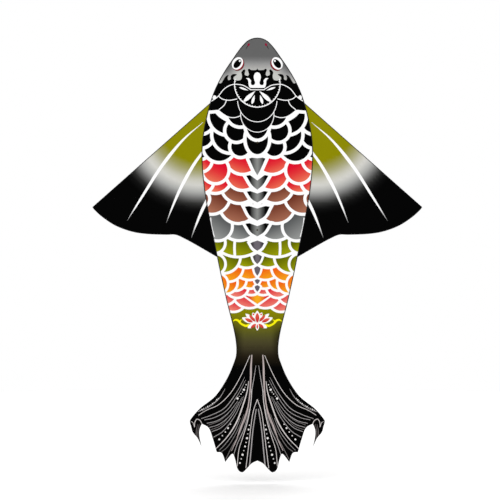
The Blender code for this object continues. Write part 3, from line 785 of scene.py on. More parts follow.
def cut_cloth(name, edge, art, lie, finishes, spacing=11.0, hem=7.0, band=0.0, thick=0.4,
              sewn=5.0, thread=4.2, seam=-1e6):
    """Cut and print a sail, in mm.

    The shapes of its art become faces spacing apart and lie gives their depth. A hem is folded to
    the back, a dark band edges the cloth above the seam, and thread is sewn round it.
    """
    edge = anticlockwise(edge)
    loops = [edge] + ([offset(edge, -band)] if band else [])
    first_shape = len(loops)
    loops += [divided(loop, spacing) for loop in art.loops]
    points, rings = [], []
    for loop in loops:
        rings.append(list(range(len(points), len(points) + len(loop))))
        points += loop
    x, z = np.array(edge).T
    points += well_inside([(gx, gz) for gx in np.arange(x.min() + 3, x.max(), spacing)
                           for gz in np.arange(z.min() + 3, z.max(), spacing)], edge, hem + 3)
    if hem:
        points += well_inside(offset(edge, -hem) + offset(edge, -hem - HEM_FOLD), edge, hem * 0.96)
    flat, _, tris, _, _, origins = delaunay_2d_cdt(
        [Vector(p) for p in points], [], rings, 1, 1e-4, True)
    kept, printed, shown = [], [], {}
    for tri, origin in zip(tris, origins):
        colour = art.inks[max(0, max(origin) - first_shape)] if 0 in origin else None
        if colour is None:
            continue
        if band and 1 not in origin and max(flat[v].y for v in tri) > seam + band + 1:
            colour = ink(BAND_INK)
        kept.append(tri)
        printed.append(colour)
        if isinstance(colour, Fade):
            shown.setdefault(colour, []).extend((abs(flat[v].x), flat[v].y) for v in tri)
    for fade, seen in shown.items():
        fade.fit(seen)
    colours = [colour(abs(flat[v].x), flat[v].y) if callable(colour) else colour
               for tri, colour in zip(kept, printed) for v in tri]
    used = sorted({v for tri in kept for v in tri})
    number = {v: i for i, v in enumerate(used)}
    flat = [(flat[v].x, flat[v].y) for v in used]
    kept = [tuple(number[v] for v in tri) for tri in kept]
    n = len(flat)
    front = [(px, lie(px, pz), pz) for px, pz in flat]
    doubled = [thick * (1 - smooth((d - hem) / HEM_FOLD)) if hem else 0.0
               for d in edge_distance(flat, edge)]
    back = [(px, py + thick + more, pz) for (px, py, pz), more in zip(front, doubled)]
    directed = {(a, b) for tri in kept for a, b in zip(tri, tri[1:] + tri[:1])}
    faces = kept + [tuple(n + v for v in tri[::-1]) for tri in kept]
    colours += [colours[3 * i + k] for i in range(len(kept)) for k in (2, 1, 0)]
    which = [0] * len(kept) + [1] * len(kept)
    colour_at = {v: colours[3 * i + k] for i, tri in enumerate(kept) for k, v in enumerate(tri)}
    for a, b in sorted(directed):
        if (b, a) not in directed:
            faces.append((b, a, n + a, n + b))
            which.append(1)
            colours += [colour_at[b], colour_at[a], colour_at[a], colour_at[b]]
    points = front + back
    row, ways = spaced(offset(edge, -sewn), thread)
    rows = Thread(points, faces)
    fits = (edge_distance(row, edge) > sewn * CLEAR) & inside(row, edge)
    near = np.array(flat)
    for (px, pz), way, ok in zip(row, ways, fits):
        if ok:
            y = lie(px, pz)
            under = colour_at[int(np.hypot(near[:, 0] - px, near[:, 1] - pz).argmin())]
            for depth, up, finish, colour in ((y, -1, 0, blended(under, (0, 0, 0), 0.2)),
                                              (y + thick * 2, 1, 2, ink(BLACK_THREAD))):
                rows.stitch(px, depth, pz, way, up)
                which += [finish] * len(STITCH_FACES)
                colours += [colour] * 3 * len(STITCH_FACES)
    return piece(name, points, faces, finishes, which, colours, sharp=60)


def turned(name, path, outline, finish, sides=28, ring=False):
    """A round piece on a path in mm; outline gives its radius at distances along it."""
    path = [Vector(p) for p in path]
    run = [0.0]
    for a, b in zip(path, path[1:]):
        run.append(run[-1] + (b - a).length)
    way = (path[-1] - path[0]).normalized()
    side = way.cross(TOWARDS_VIEWER if abs(way.y) < 0.9 else Vector((0, 0, 1))).normalized()
    other = way.cross(side)
    points, faces, flat, rows = [], [], [], []
    for distance, radius in outline:
        at = min(max(distance, 0.0), run[-1])
        k = max(0, min(len(run) - 2, int(np.searchsorted(run, at, "right")) - 1))
        share = (distance - run[k]) / (run[k + 1] - run[k])
        centre = path[k] + (path[k + 1] - path[k]) * share
        count = sides if radius > 1e-6 else 1
        rows.append(list(range(len(points), len(points) + count)))
        for s in range(count):
            a = 2 * math.pi * s / sides
            points.append(tuple(centre + (side * math.cos(a) + other * math.sin(a)) * radius))
            flat.append((a * radius, distance))
    pairs = list(zip(rows, rows[1:])) + ([(rows[-1], rows[0])] if ring else [])
    for one, two in pairs:
        for s in range(sides):
            quad = [one[s % len(one)], one[(s + 1) % len(one)],
                    two[(s + 1) % len(two)], two[s % len(two)]]
            corner = tuple(dict.fromkeys(quad))
            if len(corner) > 2:
                faces.append(corner)
    if not ring:
        faces += [tuple(end) for end in (rows[0][::-1], rows[-1]) if len(end) > 1]
    return faced_outward(piece(name, points, faces, [finish], flat=flat, sharp=50))


def rod_outline(length, radius):
    """A rod with eased ends."""
    bevel = 0.5
    return [(0, radius - bevel), (bevel, radius), (length - bevel, radius),
            (length, radius - bevel)]


def tube_outline(length, outer, inner, step=1.5):
    """A thick-walled tube with soft rims; it closes on itself."""
    rim, soft = 0.6, (outer - inner) * 0.35
    end = [(0, inner + soft), (0, outer - soft), (soft * 0.6, outer - soft * 0.3)]
    return (end + [(d, outer) for d in np.arange(rim, length - 0.5, step).tolist()]
            + [(length - d, r) for d, r in end[::-1]] + [(length - rim, inner), (rim, inner)])


def channel(node, line, lie, body, closed=(False, False), cloth=0.9, name=None):
    """A strip of tape over a rod, sewn along both sides to the back of cloth that is cloth deep."""
    tape, step = 0.45, 2.2
    (a, b), radius, _ = mm_line(line)
    along = Vector((b.x - a.x, 0, b.z - a.z)).normalized()
    across = Vector((along.z, 0, -along.x))
    co = corners(node) / MM - np.array(a)
    reach, spread, high = co @ np.array(along), co @ np.array(across), co[:, 1] + a.y
    t0, t1, s0, s1, top = reach.min(), reach.max(), spread.min(), spread.max(), high.max()
    rise = 1.55 * radius
    hump = [rise * u for u in np.linspace(-2.2, 2.2, 23)]
    places = sorted({round(s, 4) for s in [s0, s1] + np.linspace(s0, s1, 9).tolist() + hump
                     if s0 <= s <= s1})
    rows = max(4, int((t1 - t0) / step)) + 1

    def lifted(s, base, full=1):
        """How high the tape stands at s across the rod."""
        return (top - tape - base) * full / (1 + (abs(s) / rise) ** 4)

    points, faces, flat = [], [], []
    for t in np.linspace(t0, t1, rows):
        end = 1.0
        for shut, gap in zip(closed, (t - t0, t1 - t)):
            end *= min(1.0, gap / step) ** 0.5 if shut else 1.0
        shift = 0.3 * wrinkle(t, s1, 9, 5.0)
        full = 1 + 0.035 * wrinkle(t, s0, 7, 2.0)
        curve = []
        for s in places:
            edge = s + (shift if s in (places[0], places[-1]) else 0)
            q = a + along * t + across * edge
            base = lie(q.x, q.z) + cloth
            curve.append((edge, base + min(lifted(s, base, end * full), top - tape - base), q))
        for k, (s, y, q) in enumerate(curve):
            s_a, y_a, _ = curve[max(k - 1, 0)]
            s_b, y_b, _ = curve[min(k + 1, len(curve) - 1)]
            tilt = math.hypot(s_b - s_a, y_b - y_a)
            lean, up = -(y_b - y_a) / tilt * tape, (s_b - s_a) / tilt * tape
            points.append((q.x, y, q.z))
            points.append((q.x + across.x * lean, y + up, q.z + across.z * lean))
            flat += [(s, t), (s, t)]
    wide = len(places)

    def at(row, column, outer):
        return 2 * (row * wide + column) + outer

    for row in range(rows - 1):
        for column in range(wide - 1):
            quad = ((row, column), (row, column + 1), (row + 1, column + 1), (row + 1, column))
            faces.append(tuple(at(r, c, 0) for r, c in quad))
            faces.append(tuple(at(r, c, 1) for r, c in quad[::-1]))
        for column in (0, wide - 1):
            quad = ((row, 0), (row + 1, 0), (row + 1, 1), (row, 1))
            quad = [at(r, column, outer) for r, outer in quad]
            faces.append(tuple(quad if column == 0 else quad[::-1]))
    for row in (0, rows - 1):
        for column in range(wide - 1):
            quad = ((column, 0), (column, 1), (column + 1, 1), (column + 1, 0))
            quad = [at(row, c, outer) for c, outer in quad]
            faces.append(tuple(quad if row == 0 else quad[::-1]))
    which = [0] * len(faces)
    rows_sewn = Thread(points, faces)
    inset, pitch = 1.5, 3.6
    for s in (s0 + inset, s1 - inset):
        if abs(s) > 1.9 * radius:
            for t in np.arange(t0 + 2, t1 - 1.5, pitch):
                q = a + along * t + across * s
                base = lie(q.x, q.z) + cloth
                y = base + lifted(s, base) + tape
                rows_sewn.stitch(q.x, y, q.z, (along.x, along.z), 1, 2.4)
    which += [1] * rows_sewn.made
    flat += [(0, 0)] * (len(points) - len(flat))
    made = piece(name or "tape_" + node, points, faces, ["black tape", "thread"], which, flat=flat,
                 sharp=60)
    return fitted(faced_outward(made), node, body)


def moulded(name, node, finish):
    """A moulded fitting: the node's shape with every edge softened."""
    made = bpy.data.objects.new(name, frame["nodes"][node].data.copy())
    bpy.context.scene.collection.objects.link(made)
    remesh = made.modifiers.new("remesh", "REMESH")
    remesh.mode, remesh.voxel_size = "VOXEL", 0.45 * MM
    ease = made.modifiers.new("smooth", "SMOOTH")
    ease.factor, ease.iterations = 0.5, 3
    graph = bpy.context.evaluated_depsgraph_get()
    shaped = bpy.data.meshes.new_from_object(made.evaluated_get(graph))
    made.modifiers.clear()
    made.data = shaped
    shaped.name = name
    shaped.materials.clear()
    shaped.materials.append(finish_of(finish))
    shaped.shade_smooth()
    return made


# ---- finishes


class Wire:
    """A node's socket in arithmetic: each operator adds the Math node that does it."""

    def __init__(self, finish, socket):
        self.finish, self.socket = finish, socket

    def math(self, operation, *values):
        return self.finish.node("ShaderNodeMath", {"operation": operation}, dict(enumerate(values)))

    def __add__(self, other):
        return self.math("ADD", self, other)

    def __sub__(self, other):
        return self.math("SUBTRACT", self, other)

    def __mul__(self, other):
        return self.math("MULTIPLY", self, other)

    def __truediv__(self, other):
        return self.math("DIVIDE", self, other)

    def __gt__(self, other):
        return self.math("GREATER_THAN", self, other)

    def __abs__(self):
        return self.math("ABSOLUTE", self)

    __radd__, __rmul__ = __add__, __mul__

    def sine(self):
        return self.math("SINE", self)

    def repeat(self):
        """The part after the decimal point."""
        return self.math("FRACT", self)


class Finish:
    """A material on a Principled shader; constants are set on the shader's own sockets."""

    def __init__(self, name, **constants):
        self.material = bpy.data.materials.new(name)
        self.material.use_nodes = True
        self.tree = self.material.node_tree
        self.shader = self.tree.nodes["Principled BSDF"]
        for key, value in constants.items():
            self.shader.inputs[key.replace("_", " ")].default_value = value

    def node(self, kind, settings=(), values=(), output=0):
        """Any node: its type, its settings first, then the values or links of its sockets."""
        node = self.tree.nodes.new(kind)
        for key, value in dict(settings).items():
            setattr(node, key, value)
        for key, value in dict(values).items():
            self.feed(node.inputs[key], value)
        return Wire(self, node.outputs[output])

    def feed(self, socket, value):
        if isinstance(value, Wire):
            self.tree.links.new(value.socket, socket)
        else:
            socket.default_value = value

    def mix(self, factor, first, second, blend="MIX"):
        return self.node("ShaderNodeMix", {"data_type": "RGBA", "blend_type": blend},
                         {0: factor, 6: first, 7: second}, 2)

    def between(self, factor, dark, light):
        """A colour between two inks."""
        return self.mix(factor, (*ink(dark), 1), (*ink(light), 1))

    def flat(self):
        """How far across and along the cloth, in metres."""
        uv = self.node("ShaderNodeUVMap", {"uv_map": "cloth"})
        parts = self.node("ShaderNodeSeparateXYZ", {}, {0: uv})
        return uv, parts, Wire(self, parts.socket.node.outputs[1])

    def speckle(self, scale, detail=3.0, vector=None, stretch=None):
        """Noise between 0 and 1, over the object or over given coordinates."""
        vector = vector or self.node("ShaderNodeTexCoord", output=3)
        if stretch:
            vector = self.node("ShaderNodeVectorMath", {"operation": "MULTIPLY"},
                               {0: vector, 1: stretch})
        return self.node("ShaderNodeTexNoise", {},
                         {"Vector": vector, "Scale": scale, "Detail": detail})

    def wear(self, colour=None, roughness=None, height=None, depth=0.0001, strength=0.5):
        """What varies over the surface."""
        if colour:
            self.feed(self.shader.inputs["Base Color"], colour)
        if roughness:
            self.feed(self.shader.inputs["Roughness"], roughness)
        if height:
            bump = self.node("ShaderNodeBump", {},
                             {"Strength": strength, "Distance": depth, "Height": height})
            self.feed(self.shader.inputs["Normal"], bump)
        return self.material


def ripstop(name, behind=0.0):
    """Printed ripstop: a fine weave crossed by stronger threads, dulled by behind on its back."""
    f = Finish(name, Specular_IOR_Level=0.015)
    uv, across, along = f.flat()
    squares, edge, threads = 0.0048, 0.455, 7800
    stronger = ((abs((across / squares).repeat() - 0.5) > edge)
                + (abs((along / squares).repeat() - 0.5) > edge))
    weave = (across * threads).sine() * (along * threads).sine()
    handled = f.speckle(14, 4, uv)
    printed = f.node("ShaderNodeAttribute", {"attribute_name": "ink"})
    shade = 0.835 + handled * 0.06 - stronger * 0.03
    grey = f.node("ShaderNodeCombineColor", {}, {0: shade, 1: shade, 2: shade})
    colour = f.mix(1.0, printed, grey, "MULTIPLY")
    if behind:
        colour = f.mix(behind, colour, (0.24, 0.24, 0.24, 1))
    return f.wear(colour, 0.56 + handled * 0.16, stronger * 0.6 + weave * 0.25 + handled * 0.8,
                  0.00016, 0.6)


def woven_tape():
    """Black edging tape with a ribbed weave."""
    f = Finish("black tape", Specular_IOR_Level=0.3, Sheen_Weight=0.06)
    uv, across, along = f.flat()
    rib = (across * 5200).sine() * 0.5 + (along * 3900).sine() * 0.5
    worn = f.speckle(60, 4, uv)
    return f.wear(f.between(worn, "141415", "2c2c2e"), 0.66 + worn * 0.2, rib * 0.5 + worn * 0.5,
                  0.0002, 0.7)


def sewing_thread():
    f = Finish("thread", Specular_IOR_Level=0.4)
    worn = f.speckle(900)
    return f.wear(f.between(worn, "1c1c1e", "4a4a4e"), 0.5 + worn * 0.25, worn, 0.00005)


def drawn_rod():
    """Black fibre rod with fine streaks along it."""
    f = Finish("black rod", Coat_Weight=0.25, Coat_Roughness=0.2, Specular_IOR_Level=0.45)
    streak = f.speckle(1, 5, f.flat()[0], (2600, 60, 1))
    return f.wear(f.between(streak, "101011", "2e2e31"), 0.3 + streak * 0.25, streak, 0.00003)


def soft_vinyl():
    f = Finish("black vinyl", Specular_IOR_Level=0.5, Coat_Weight=0.1, Coat_Roughness=0.35)
    worn = f.speckle(260, 4)
    return f.wear(f.between(worn, "0f0f10", "26272a"), 0.36 + worn * 0.26, worn, 0.00006)


def moulded_nylon():
    f = Finish("moulded nylon", Specular_IOR_Level=0.45)
    grain = f.speckle(1500, 3)
    scuffs = f.speckle(90, 5)
    return f.wear(f.between(scuffs, "141416", "2a2a2d"), 0.46 + scuffs * 0.22, grain, 0.00004, 0.4)


def brushed_metal(name, bright, dull, turns):
    """Metal with fine turning marks and darker worn patches."""
    f = Finish(name, Metallic=1.0)
    marks = f.speckle(1, 4, f.flat()[0], turns)
    worn = f.speckle(240, 5)
    return f.wear(f.between(worn * 0.7 + marks * 0.3, dull, bright), 0.24 + marks * 0.22, marks,
                  0.00003)


def backdrop_paper():
    f = Finish("floor paper", Specular_IOR_Level=0.1)
    fibre = f.speckle(3, 4)
    return f.wear(f.mix(fibre, (0.93, 0.93, 0.93, 1), (0.96, 0.96, 0.96, 1)),
                  0.85 + fibre * 0.1)


FINISH_OF_SLOT = {
    "body_print": "printed cloth", "wing_print": "printed cloth", "tail_print": "printed cloth",
    "black_tape": "black tape", "rod": "black rod", "vinyl": "black vinyl",
    "ferrule_metal": "brushed aluminium", "eyelet_metal": "darkened brass",
}


def make_finishes():
    ripstop("printed cloth")
    ripstop("printed cloth, back", 0.14)
    woven_tape(), sewing_thread(), drawn_rod(), soft_vinyl(), moulded_nylon(), backdrop_paper()
    brushed_metal("brushed aluminium", "c9ccd0", "8d9196", (40, 3000, 1))
    brushed_metal("darkened brass", "5d5236", "1f1b12", (900, 900, 1))


# ---- settings


def colour_choice(name, text, code):
    return bpy.props.FloatVectorProperty(
        name=name, description=text, default=ink(code), subtype="COLOR", min=0, max=1)


def number(name, text, value, **limits):
    return bpy.props.FloatProperty(name=name, description=text, default=value, **limits)


class PrintColours(bpy.types.PropertyGroup):
    """Inks of the printed cloth"""

    white: colour_choice("White", "Rims of the scales, rays and ornaments", "ffffff")
    black: colour_choice("Black", "Head, upper scales and wing tips", "020202")
    nose: colour_choice("Nose", "Grey of the nose", "646464")
    brow_light: colour_choice("Brow", "Palest grey, above the black", "c6c7c3")
    crimson: colour_choice("Crimson", "Upper part of the red scales", "de0a2c")
    salmon: colour_choice("Salmon", "Lower part of the red scales", "f08c66")
    orange: colour_choice("Orange", "Lower part of the orange scales", "f8ae1c")
    olive: colour_choice("Olive", "Inner part of the wings and the tail root", "8c8904")
    band: colour_choice("Band", "Soft pale band across the wings", "d4d3cd")
    yellow: colour_choice("Yellow", "Curling stems beside the lotus", "fdf510")


class ClothSizes(bpy.types.PropertyGroup):
    """How the cloth is cut and how it fills"""

    body_depth: number("Body depth", "How far the body bows forward, in mm", 5.0, min=0, max=8)
    wing_depth: number("Wing depth", "How far a wing bows forward, in mm", 6.0, min=0, max=8)
    tail_depth: number("Tail folds", "Half the depth of the tail's folds, in mm", 5.5, min=0, max=8)
    tuck: number("Wing tuck", "How far a wing runs in behind the body", 14 * MM, unit="LENGTH")
    bend: number("Bend", "Half the width of cloth that bends at a fold", 10 * MM, unit="LENGTH")


class StageSetting(bpy.types.PropertyGroup):
    """Camera, floor and light"""

    distance: number("Distance", "Camera to kite", 6.904, unit="LENGTH")
    lens: number("Lens", "Focal length in millimetres", 135.0)
    floor: number("Floor", "Height of the floor", -1.225, unit="LENGTH")
    daylight: number("Daylight", "Strength of the even white surround", 1.0)


def rod_piece(name, node, body, ease=(0.0, 0.0)):
    """A straight rod in place of its node, drawn back by ease at each end that a tube hides."""
    (a, b), radius, _ = mm_line(axis_of(node))
    way = (b - a).normalized()
    a, b = a + way * ease[0], b - way * ease[1]
    made = turned(name, (a, b), rod_outline((b - a).length, radius), "black rod")
    return fitted(made, node, body)


def collar(name, node, body, outline, finish="black vinyl", ring=False):
    """A short round piece along its node's middle line; outline takes its length and radius."""
    ends, radius, length = mm_line(axis_of(node))
    made = turned(name, ends, outline(length, radius), finish, ring=ring)
    return fitted(made, node, body)


def capped(length, radius):
    """A soft cap, rounded at both ends."""
    soft = [(radius * (1 - math.cos(a)) * 0.6, radius * math.sin(a))
            for a in np.radians((0, 25, 45, 65, 80))]
    return (soft + [(length * 0.4, radius), (length * 0.6, radius)]
            + [(length - d, r) for d, r in soft[::-1]])


def tape_print():
    """Plain black all over."""
    art = Artwork()
    art.one([(-300, -1300), (300, -1300), (300, 500), (-300, 500)], ink(BLACK_THREAD))
    return art


def eyelet_hole(node):
    """The outline of the hole that an eyelet closes."""
    (x, _, z), _ = box_of(node)
    return disc(x, z, 1.75, step=0.6)


class Maker:
    """What every step shares: its settings."""

    bl_options = {"REGISTER", "UNDO"}

    def execute(self, context):
        self.make(context.scene.kite_inks, context.scene.kite_cloth, context.scene.kite_stage)
        return {"FINISHED"}


class KITE_OT_mix_finishes(Maker, bpy.types.Operator):
    """Mix the finishes and give every node of the frame its own"""

    bl_idname = "kite.mix_finishes"
    bl_label = "Mix the finishes"

    def make(self, inks, cloth, stage):
        make_finishes()
        slots = {part["node"]: part["material_slot"] for part in frame["record"]["subparts"]}
        for name, node in frame["nodes"].items():
            node.data.materials.clear()
            node.data.materials.append(finish_of(FINISH_OF_SLOT[slots[name]]))


class KITE_OT_cut_body(Maker, bpy.types.Operator):
    """Cut, print and hem the body"""

    bl_idname = "kite.cut_body"
    bl_label = "Cut the body"

    def make(self, inks, cloth, stage):
        art = body_artwork(inks)
        for level in LEVELS:
            art.one(eyelet_hole("bridle_eyelet_" + level), None)
        made = cut_cloth("body_cloth", rounded_edge(BODY_EDGE), art,
                         lambda x, z: body_lie(x, z, cloth.body_depth),
                         CLOTH_FINISHES, band=3.2, seam=SEAM_Z)
        fitted(made, "body_sail", "body")


class KITE_OT_cut_wings(Maker, bpy.types.Operator):
    """Cut, print and hem both wings, each reaching in behind the body past its fold"""

    bl_idname = "kite.cut_wings"
    bl_label = "Cut the wings"

    def make(self, inks, cloth, stage):
        for word, side in SIDES:
            place, outward = HINGE[word]
            edge = []
            for x, z in rounded_edge(edge_of("wing_sail_" + word)):
                tuck = cloth.tuck / MM if beyond_fold(x, z, word) < 1 else 0
                edge.append((x - outward.x * tuck, z - outward.z * tuck))
            made = cut_cloth("wing_cloth_" + word, edge, wing_artwork(side, inks),
                             lambda x, z: wing_lie(x, z, word, cloth.wing_depth),
                             CLOTH_FINISHES, band=2.6)
            fitted(made, "wing_sail_" + word)
            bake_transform(made)


class KITE_OT_cut_tail(Maker, bpy.types.Operator):
    """Cut and print the tail, and sew its seam tape"""

    bl_idname = "kite.cut_tail"
    bl_label = "Cut the tail"

    def make(self, inks, cloth, stage):
        lie = lambda x, z: tail_lie(x, z, cloth.tail_depth)
        overlap = 7  # how far the tail runs up behind the body above their seam
        edge = [(x, z + overlap if z > SEAM_Z - 1 else z)
                for x, z in rounded_edge(edge_of("tail_sail"))]
        made = cut_cloth("tail_cloth", edge, tail_artwork(inks), lie, CLOTH_FINISHES, hem=3.2,
                         sewn=2.4)
        fitted(made, "tail_sail")
        header = cut_cloth("tail_seam_tape", rounded_edge(edge_of("tail_header_tape")),
                           tape_print(), lambda x, z: lie(x, z) + 0.95, TAPE_FINISHES, spacing=5,
                           hem=0, thick=0.5, sewn=2.0)
        fitted(header, "tail_header_tape")
        for sewn in (made, header):
            SEAM + 0.010
            SEAM - 0.030
            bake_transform(sewn)


class KITE_OT_sew_channels(Maker, bpy.types.Operator):
    """Sew the loops, pockets, sleeves and patches that hold the frame"""

    bl_idname = "kite.sew_channels"
    bl_label = "Sew the channels"

    def make(self, inks, cloth, stage):
        lie = lambda x, z: body_lie(x, z, cloth.body_depth)
        upper = axis_of("spine_upper")
        for node in sorted(frame["nodes"]):
            if node.startswith("spine_loop"):
                channel(node, upper, lie, "body", cloth=0.5)
        channel("nose_pocket", upper, lie, "body", (False, True), 0.5)
        channel("spine_foot_pocket", axis_of("spine_lower"), lie, "body", (True, False), 0.5,
                "tape_foot_pocket")
        channel("batten_sleeve", axis_of("tail_batten"), lie, "body", (True, True), 0.5)
        for word, side in SIDES:
            channel("strut_loop_" + word, axis_of("head_strut_" + word), lie, "body", cloth=0.5)
            rod = axis_of("leading_edge_rod_" + word)
            over = lambda x, z: wing_lie(x, z, word, cloth.wing_depth)
            for node, closed in (("edge_sleeve_inner_", (False, False)),
                                 ("edge_sleeve_outer_", (False, False)),
                                 ("wing_tip_pocket_", (side < 0, side > 0))):
                channel(node + word, rod, over, "wing_" + word, closed)
        for level in LEVELS:
            node = "eyelet_patch_" + level
            art = tape_print()
            art.one(eyelet_hole("bridle_eyelet_" + level), None)
            (_, _, z), (w, _, h) = box_of(node)
            square = []
            for a in np.radians(range(0, 360, 6)):
                u, v = (math.copysign(abs(t) ** 0.25, t) for t in (math.cos(a), math.sin(a)))
                square.append((w * u, z + h * v))
            made = cut_cloth("tape_" + node, square, art, lambda x, z: lie(x, z) + 0.5,
                             TAPE_FINISHES, spacing=4, hem=0, thick=0.5, sewn=1.8, thread=3.4)
            fitted(made, node, "body")


class KITE_OT_set_rods(Maker, bpy.types.Operator):
    """Set the spine, spreaders, struts, leading-edge rods, ferrule and batten"""

    bl_idname = "kite.set_rods"
    bl_label = "Set the rods"

    def make(self, inks, cloth, stage):
        for node in ("spine_upper", "spine_lower", "tail_batten"):
            rod_piece("rod_" + node, node, "body")
        rod_piece("rod_centre_spreader", "centre_spreader", "body", (14, 14))
        wall, covered = 0.75, 8  # the ferrule's wall, and the end of a rod that a tube covers
        collar("joining_ferrule", "spine_ferrule", "body",
               lambda length, r: tube_outline(length, r, r - wall, 6),
               "brushed aluminium", True)
        for word, side in SIDES:
            ease = (0, covered)[::side]
            rod_piece("rod_head_strut_" + word, "head_strut_" + word, "body", ease)
            rod_piece("rod_leading_edge_" + word, "leading_edge_rod_" + word, "wing_" + word)
            rod_piece("rod_outer_spreader_" + word, "outer_spreader_" + word, "wing_" + word,
                      ease[::-1])


class KITE_OT_push_tubes(Maker, bpy.types.Operator):
    """Push on the vinyl tubes that bend at the wings' folds, the stops and the end caps"""

    bl_idname = "kite.push_tubes"
    bl_label = "Push on the tubes"

    def make(self, inks, cloth, stage):
        for word, side in SIDES:
            place, outward = HINGE[word]
            for node, inner, outer, reach, bend in (
                ("shoulder_tube_", "head_strut_" + word, "leading_edge_rod_", 27, 0.010),
                ("spreader_tube_", "centre_spreader", "outer_spreader_", 37, 0.020),
            ):
                one, two = axis_of(inner), axis_of(outer + word)
                near, far = (one[:2], two[:2]) if side > 0 else (one[1::-1], two[1::-1])
                way, on = (near[1] - near[0]).normalized(), (far[1] - far[0]).normalized()
                meets = near[1] + way * ((place - near[1]).dot(outward) / way.dot(outward))
                back = (place - far[0]).dot(outward) / on.dot(outward)
                path = [p / MM for p in (meets - way * reach * MM, (meets + far[0] + on * back) / 2,
                                         far[0] + on * (back + reach * MM))]
                radius = axis_of(node + word)[2] / MM
                outline = tube_outline(2 * reach, radius, one[2] / MM + 0.08)
                made = turned("tube_" + node + word, path, outline, "black vinyl", 24, True)
                fitted(made, node + word)
                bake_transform(made)
            for level in LEVELS:
                collar(f"stop_{level}_{word}", f"edge_stopper_{level}_{word}", "wing_" + word,
                       lambda length, r: tube_outline(length, r, r - 1.2), ring=True)
            collar("cap_wing_tip_" + word, "wing_tip_cap_" + word, "wing_" + word, capped)
        for end in ("top", "foot"):
            collar("cap_spine_" + end, "spine_cap_" + end, "body", capped)


class KITE_OT_mould_fittings(Maker, bpy.types.Operator):
    """Mould the centre, head and edge fittings"""

    bl_idname = "kite.mould_fittings"
    bl_label = "Mould the fittings"

    def make(self, inks, cloth, stage):
        owners = {"centre_fitting": "body", "head_fitting": "body"}
        owners.update({"edge_connector_" + word: "wing_" + word for word, _ in SIDES})
        for node, body in owners.items():
            fitted(moulded("moulded_" + node, node, "moulded nylon"), node, body)


class KITE_OT_set_eyelets(Maker, bpy.types.Operator):
    """Press the bridle eyelets into the front"""

    bl_idname = "kite.set_eyelets"
    bl_label = "Set the eyelets"

    def make(self, inks, cloth, stage):
        front = ((0.5, 0.44), (0.12, 0.52), (0, 0.68), (0.1, 0.88), (0.35, 1), (0.62, 0.97),
                 (0.66, 0.6))
        washer = ((0.5, 0.6), (0.45, 0.86), (0.2, 0.9), (0, 0.8), (0.05, 0.6), (0.3, 0.46))
        for level in LEVELS:
            node = "bridle_eyelet_" + level
            (x, y, z), (r, half, _) = box_of(node)
            outline = [(d, k * r) for d, k in front] + [(2 * half - d, k * r) for d, k in washer]
            made = turned("eyelet_" + level, ((x, y - half, z), (x, y + half, z)), outline,
                          "darkened brass", 40, True)
            fitted(made, node, "body")


class KITE_OT_declare_cloth(Maker, bpy.types.Operator):
    """Gather each sail's node, how it is held, what it rests on and what is sewn to it, and work
    out its flat area; none of it is kept
    """

    bl_idname = "kite.declare_cloth"
    bl_label = "Declare the cloth"

    def make(self, inks, cloth, stage):
        names = [o.name for o in bpy.context.scene.objects if o.name.startswith("tape_")]
        loops = ["tape_strut_loop_" + word for word, _ in SIDES]
        rows = [("body_cloth", "body_sail", "stretched", ["rod_spine_upper", "rod_spine_lower"],
                 [n for n in names if not n.endswith(("left", "right"))] + loops)]
        rows += [("wing_cloth_" + word, "wing_sail_" + word, "stretched",
                  ["rod_leading_edge_" + word],
                  [n for n in names if n.endswith(word) and n not in loops]) for word, _ in SIDES]
        rows.append(("tail_cloth", "tail_sail", "hung", ["body_cloth"], ["tail_seam_tape"]))
        for name, node, held, rests, sewn in rows:
            area_of(edge_of(node)) * MM * MM


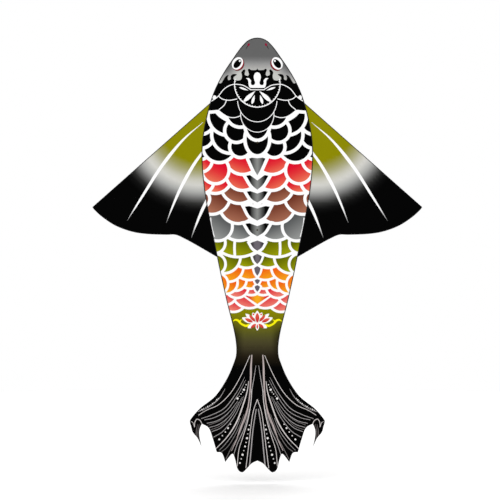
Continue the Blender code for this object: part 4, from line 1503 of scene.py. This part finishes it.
class KITE_OT_light_stage(Maker, bpy.types.Operator):
    """Lay the floor, hang the soft lights and place the camera"""

    bl_idname = "kite.light_stage"
    bl_label = "Light the stage"

    def make(self, inks, cloth, stage):
        wide, thick = 4600, 20
        rim = [(wide * math.cos(a), wide * math.sin(a)) for a in np.radians(range(0, 360, 5))]
        points = [(x, y, stage.floor / MM - down) for down in (0, thick) for x, y in rim]
        n = len(rim)
        faces = [tuple(range(n)), tuple(range(2 * n - 1, n - 1, -1))]
        faces += [(n + i, n + (i + 1) % n, (i + 1) % n, i) for i in range(n)]
        floor = piece("floor", points, faces, ["floor paper"])
        scene = bpy.context.scene
        middle = Vector((0, 0, -0.3))
        for name, place, size, power in (
            ("key", (-3.2, -4.2, 3.4), 3.0, 60),
            ("fill", (3.8, -4.6, 1.6), 3.4, 30),
            ("rear", (0.8, 4.6, 3.2), 3.2, 55),
        ):
            light = bpy.data.lights.new(name, "AREA")
            light.shape, light.size, light.energy = "DISK", size, power
            lamp = bpy.data.objects.new(name, light)
            lamp.location = place
            lamp.rotation_euler = (middle - Vector(place)).to_track_quat("-Z", "Y").to_euler()
            scene.collection.objects.link(lamp)
        world = bpy.data.worlds.new("white surround")
        world.use_nodes = True
        surround = world.node_tree.nodes["Background"].inputs
        surround["Color"].default_value = (1, 1, 1, 1)
        surround["Strength"].default_value = stage.daylight
        scene.world = world
        scene.view_settings.view_transform = "Standard"
        seen = bpy.data.cameras.new("camera")
        seen.lens, seen.sensor_width = stage.lens, 36
        camera = bpy.data.objects.new("camera", seen)
        camera.location = (-0.0269, -stage.distance, -0.368)
        camera.rotation_euler = (math.radians(90), 0, 0)
        scene.collection.objects.link(camera)
        scene.camera = camera


STEPS = (
    KITE_OT_mix_finishes, KITE_OT_cut_body, KITE_OT_cut_wings, KITE_OT_cut_tail,
    KITE_OT_sew_channels, KITE_OT_set_rods, KITE_OT_push_tubes, KITE_OT_mould_fittings,
    KITE_OT_set_eyelets, KITE_OT_declare_cloth, KITE_OT_light_stage,
)


class KITE_PT_steps(bpy.types.Panel):
    """The steps that build the kite, in order"""

    bl_label = "Fish kite"
    bl_space_type = "VIEW_3D"
    bl_region_type = "UI"
    bl_category = "Kite"

    def draw(self, context):
        for step in STEPS:
            self.layout.operator(step.bl_idname)
        for group in (context.scene.kite_inks, context.scene.kite_cloth, context.scene.kite_stage):
            for key in group.bl_rna.properties.keys()[2:]:
                self.layout.prop(group, key)


CLASSES = (PrintColours, ClothSizes, StageSetting) + STEPS + (KITE_PT_steps,)


def register():
    for cls in CLASSES:
        bpy.utils.register_class(cls)
    bpy.types.Scene.kite_inks = bpy.props.PointerProperty(type=PrintColours)
    bpy.types.Scene.kite_cloth = bpy.props.PointerProperty(type=ClothSizes)
    bpy.types.Scene.kite_stage = bpy.props.PointerProperty(type=StageSetting)


def unregister():
    del bpy.types.Scene.kite_inks, bpy.types.Scene.kite_cloth, bpy.types.Scene.kite_stage
    for cls in reversed(CLASSES):
        bpy.utils.unregister_class(cls)


def main():
    register()
    for step in STEPS:
        space, name = step.bl_idname.split(".")
        getattr(getattr(bpy.ops, space), name)()


if __name__ == "__main__":
    main()
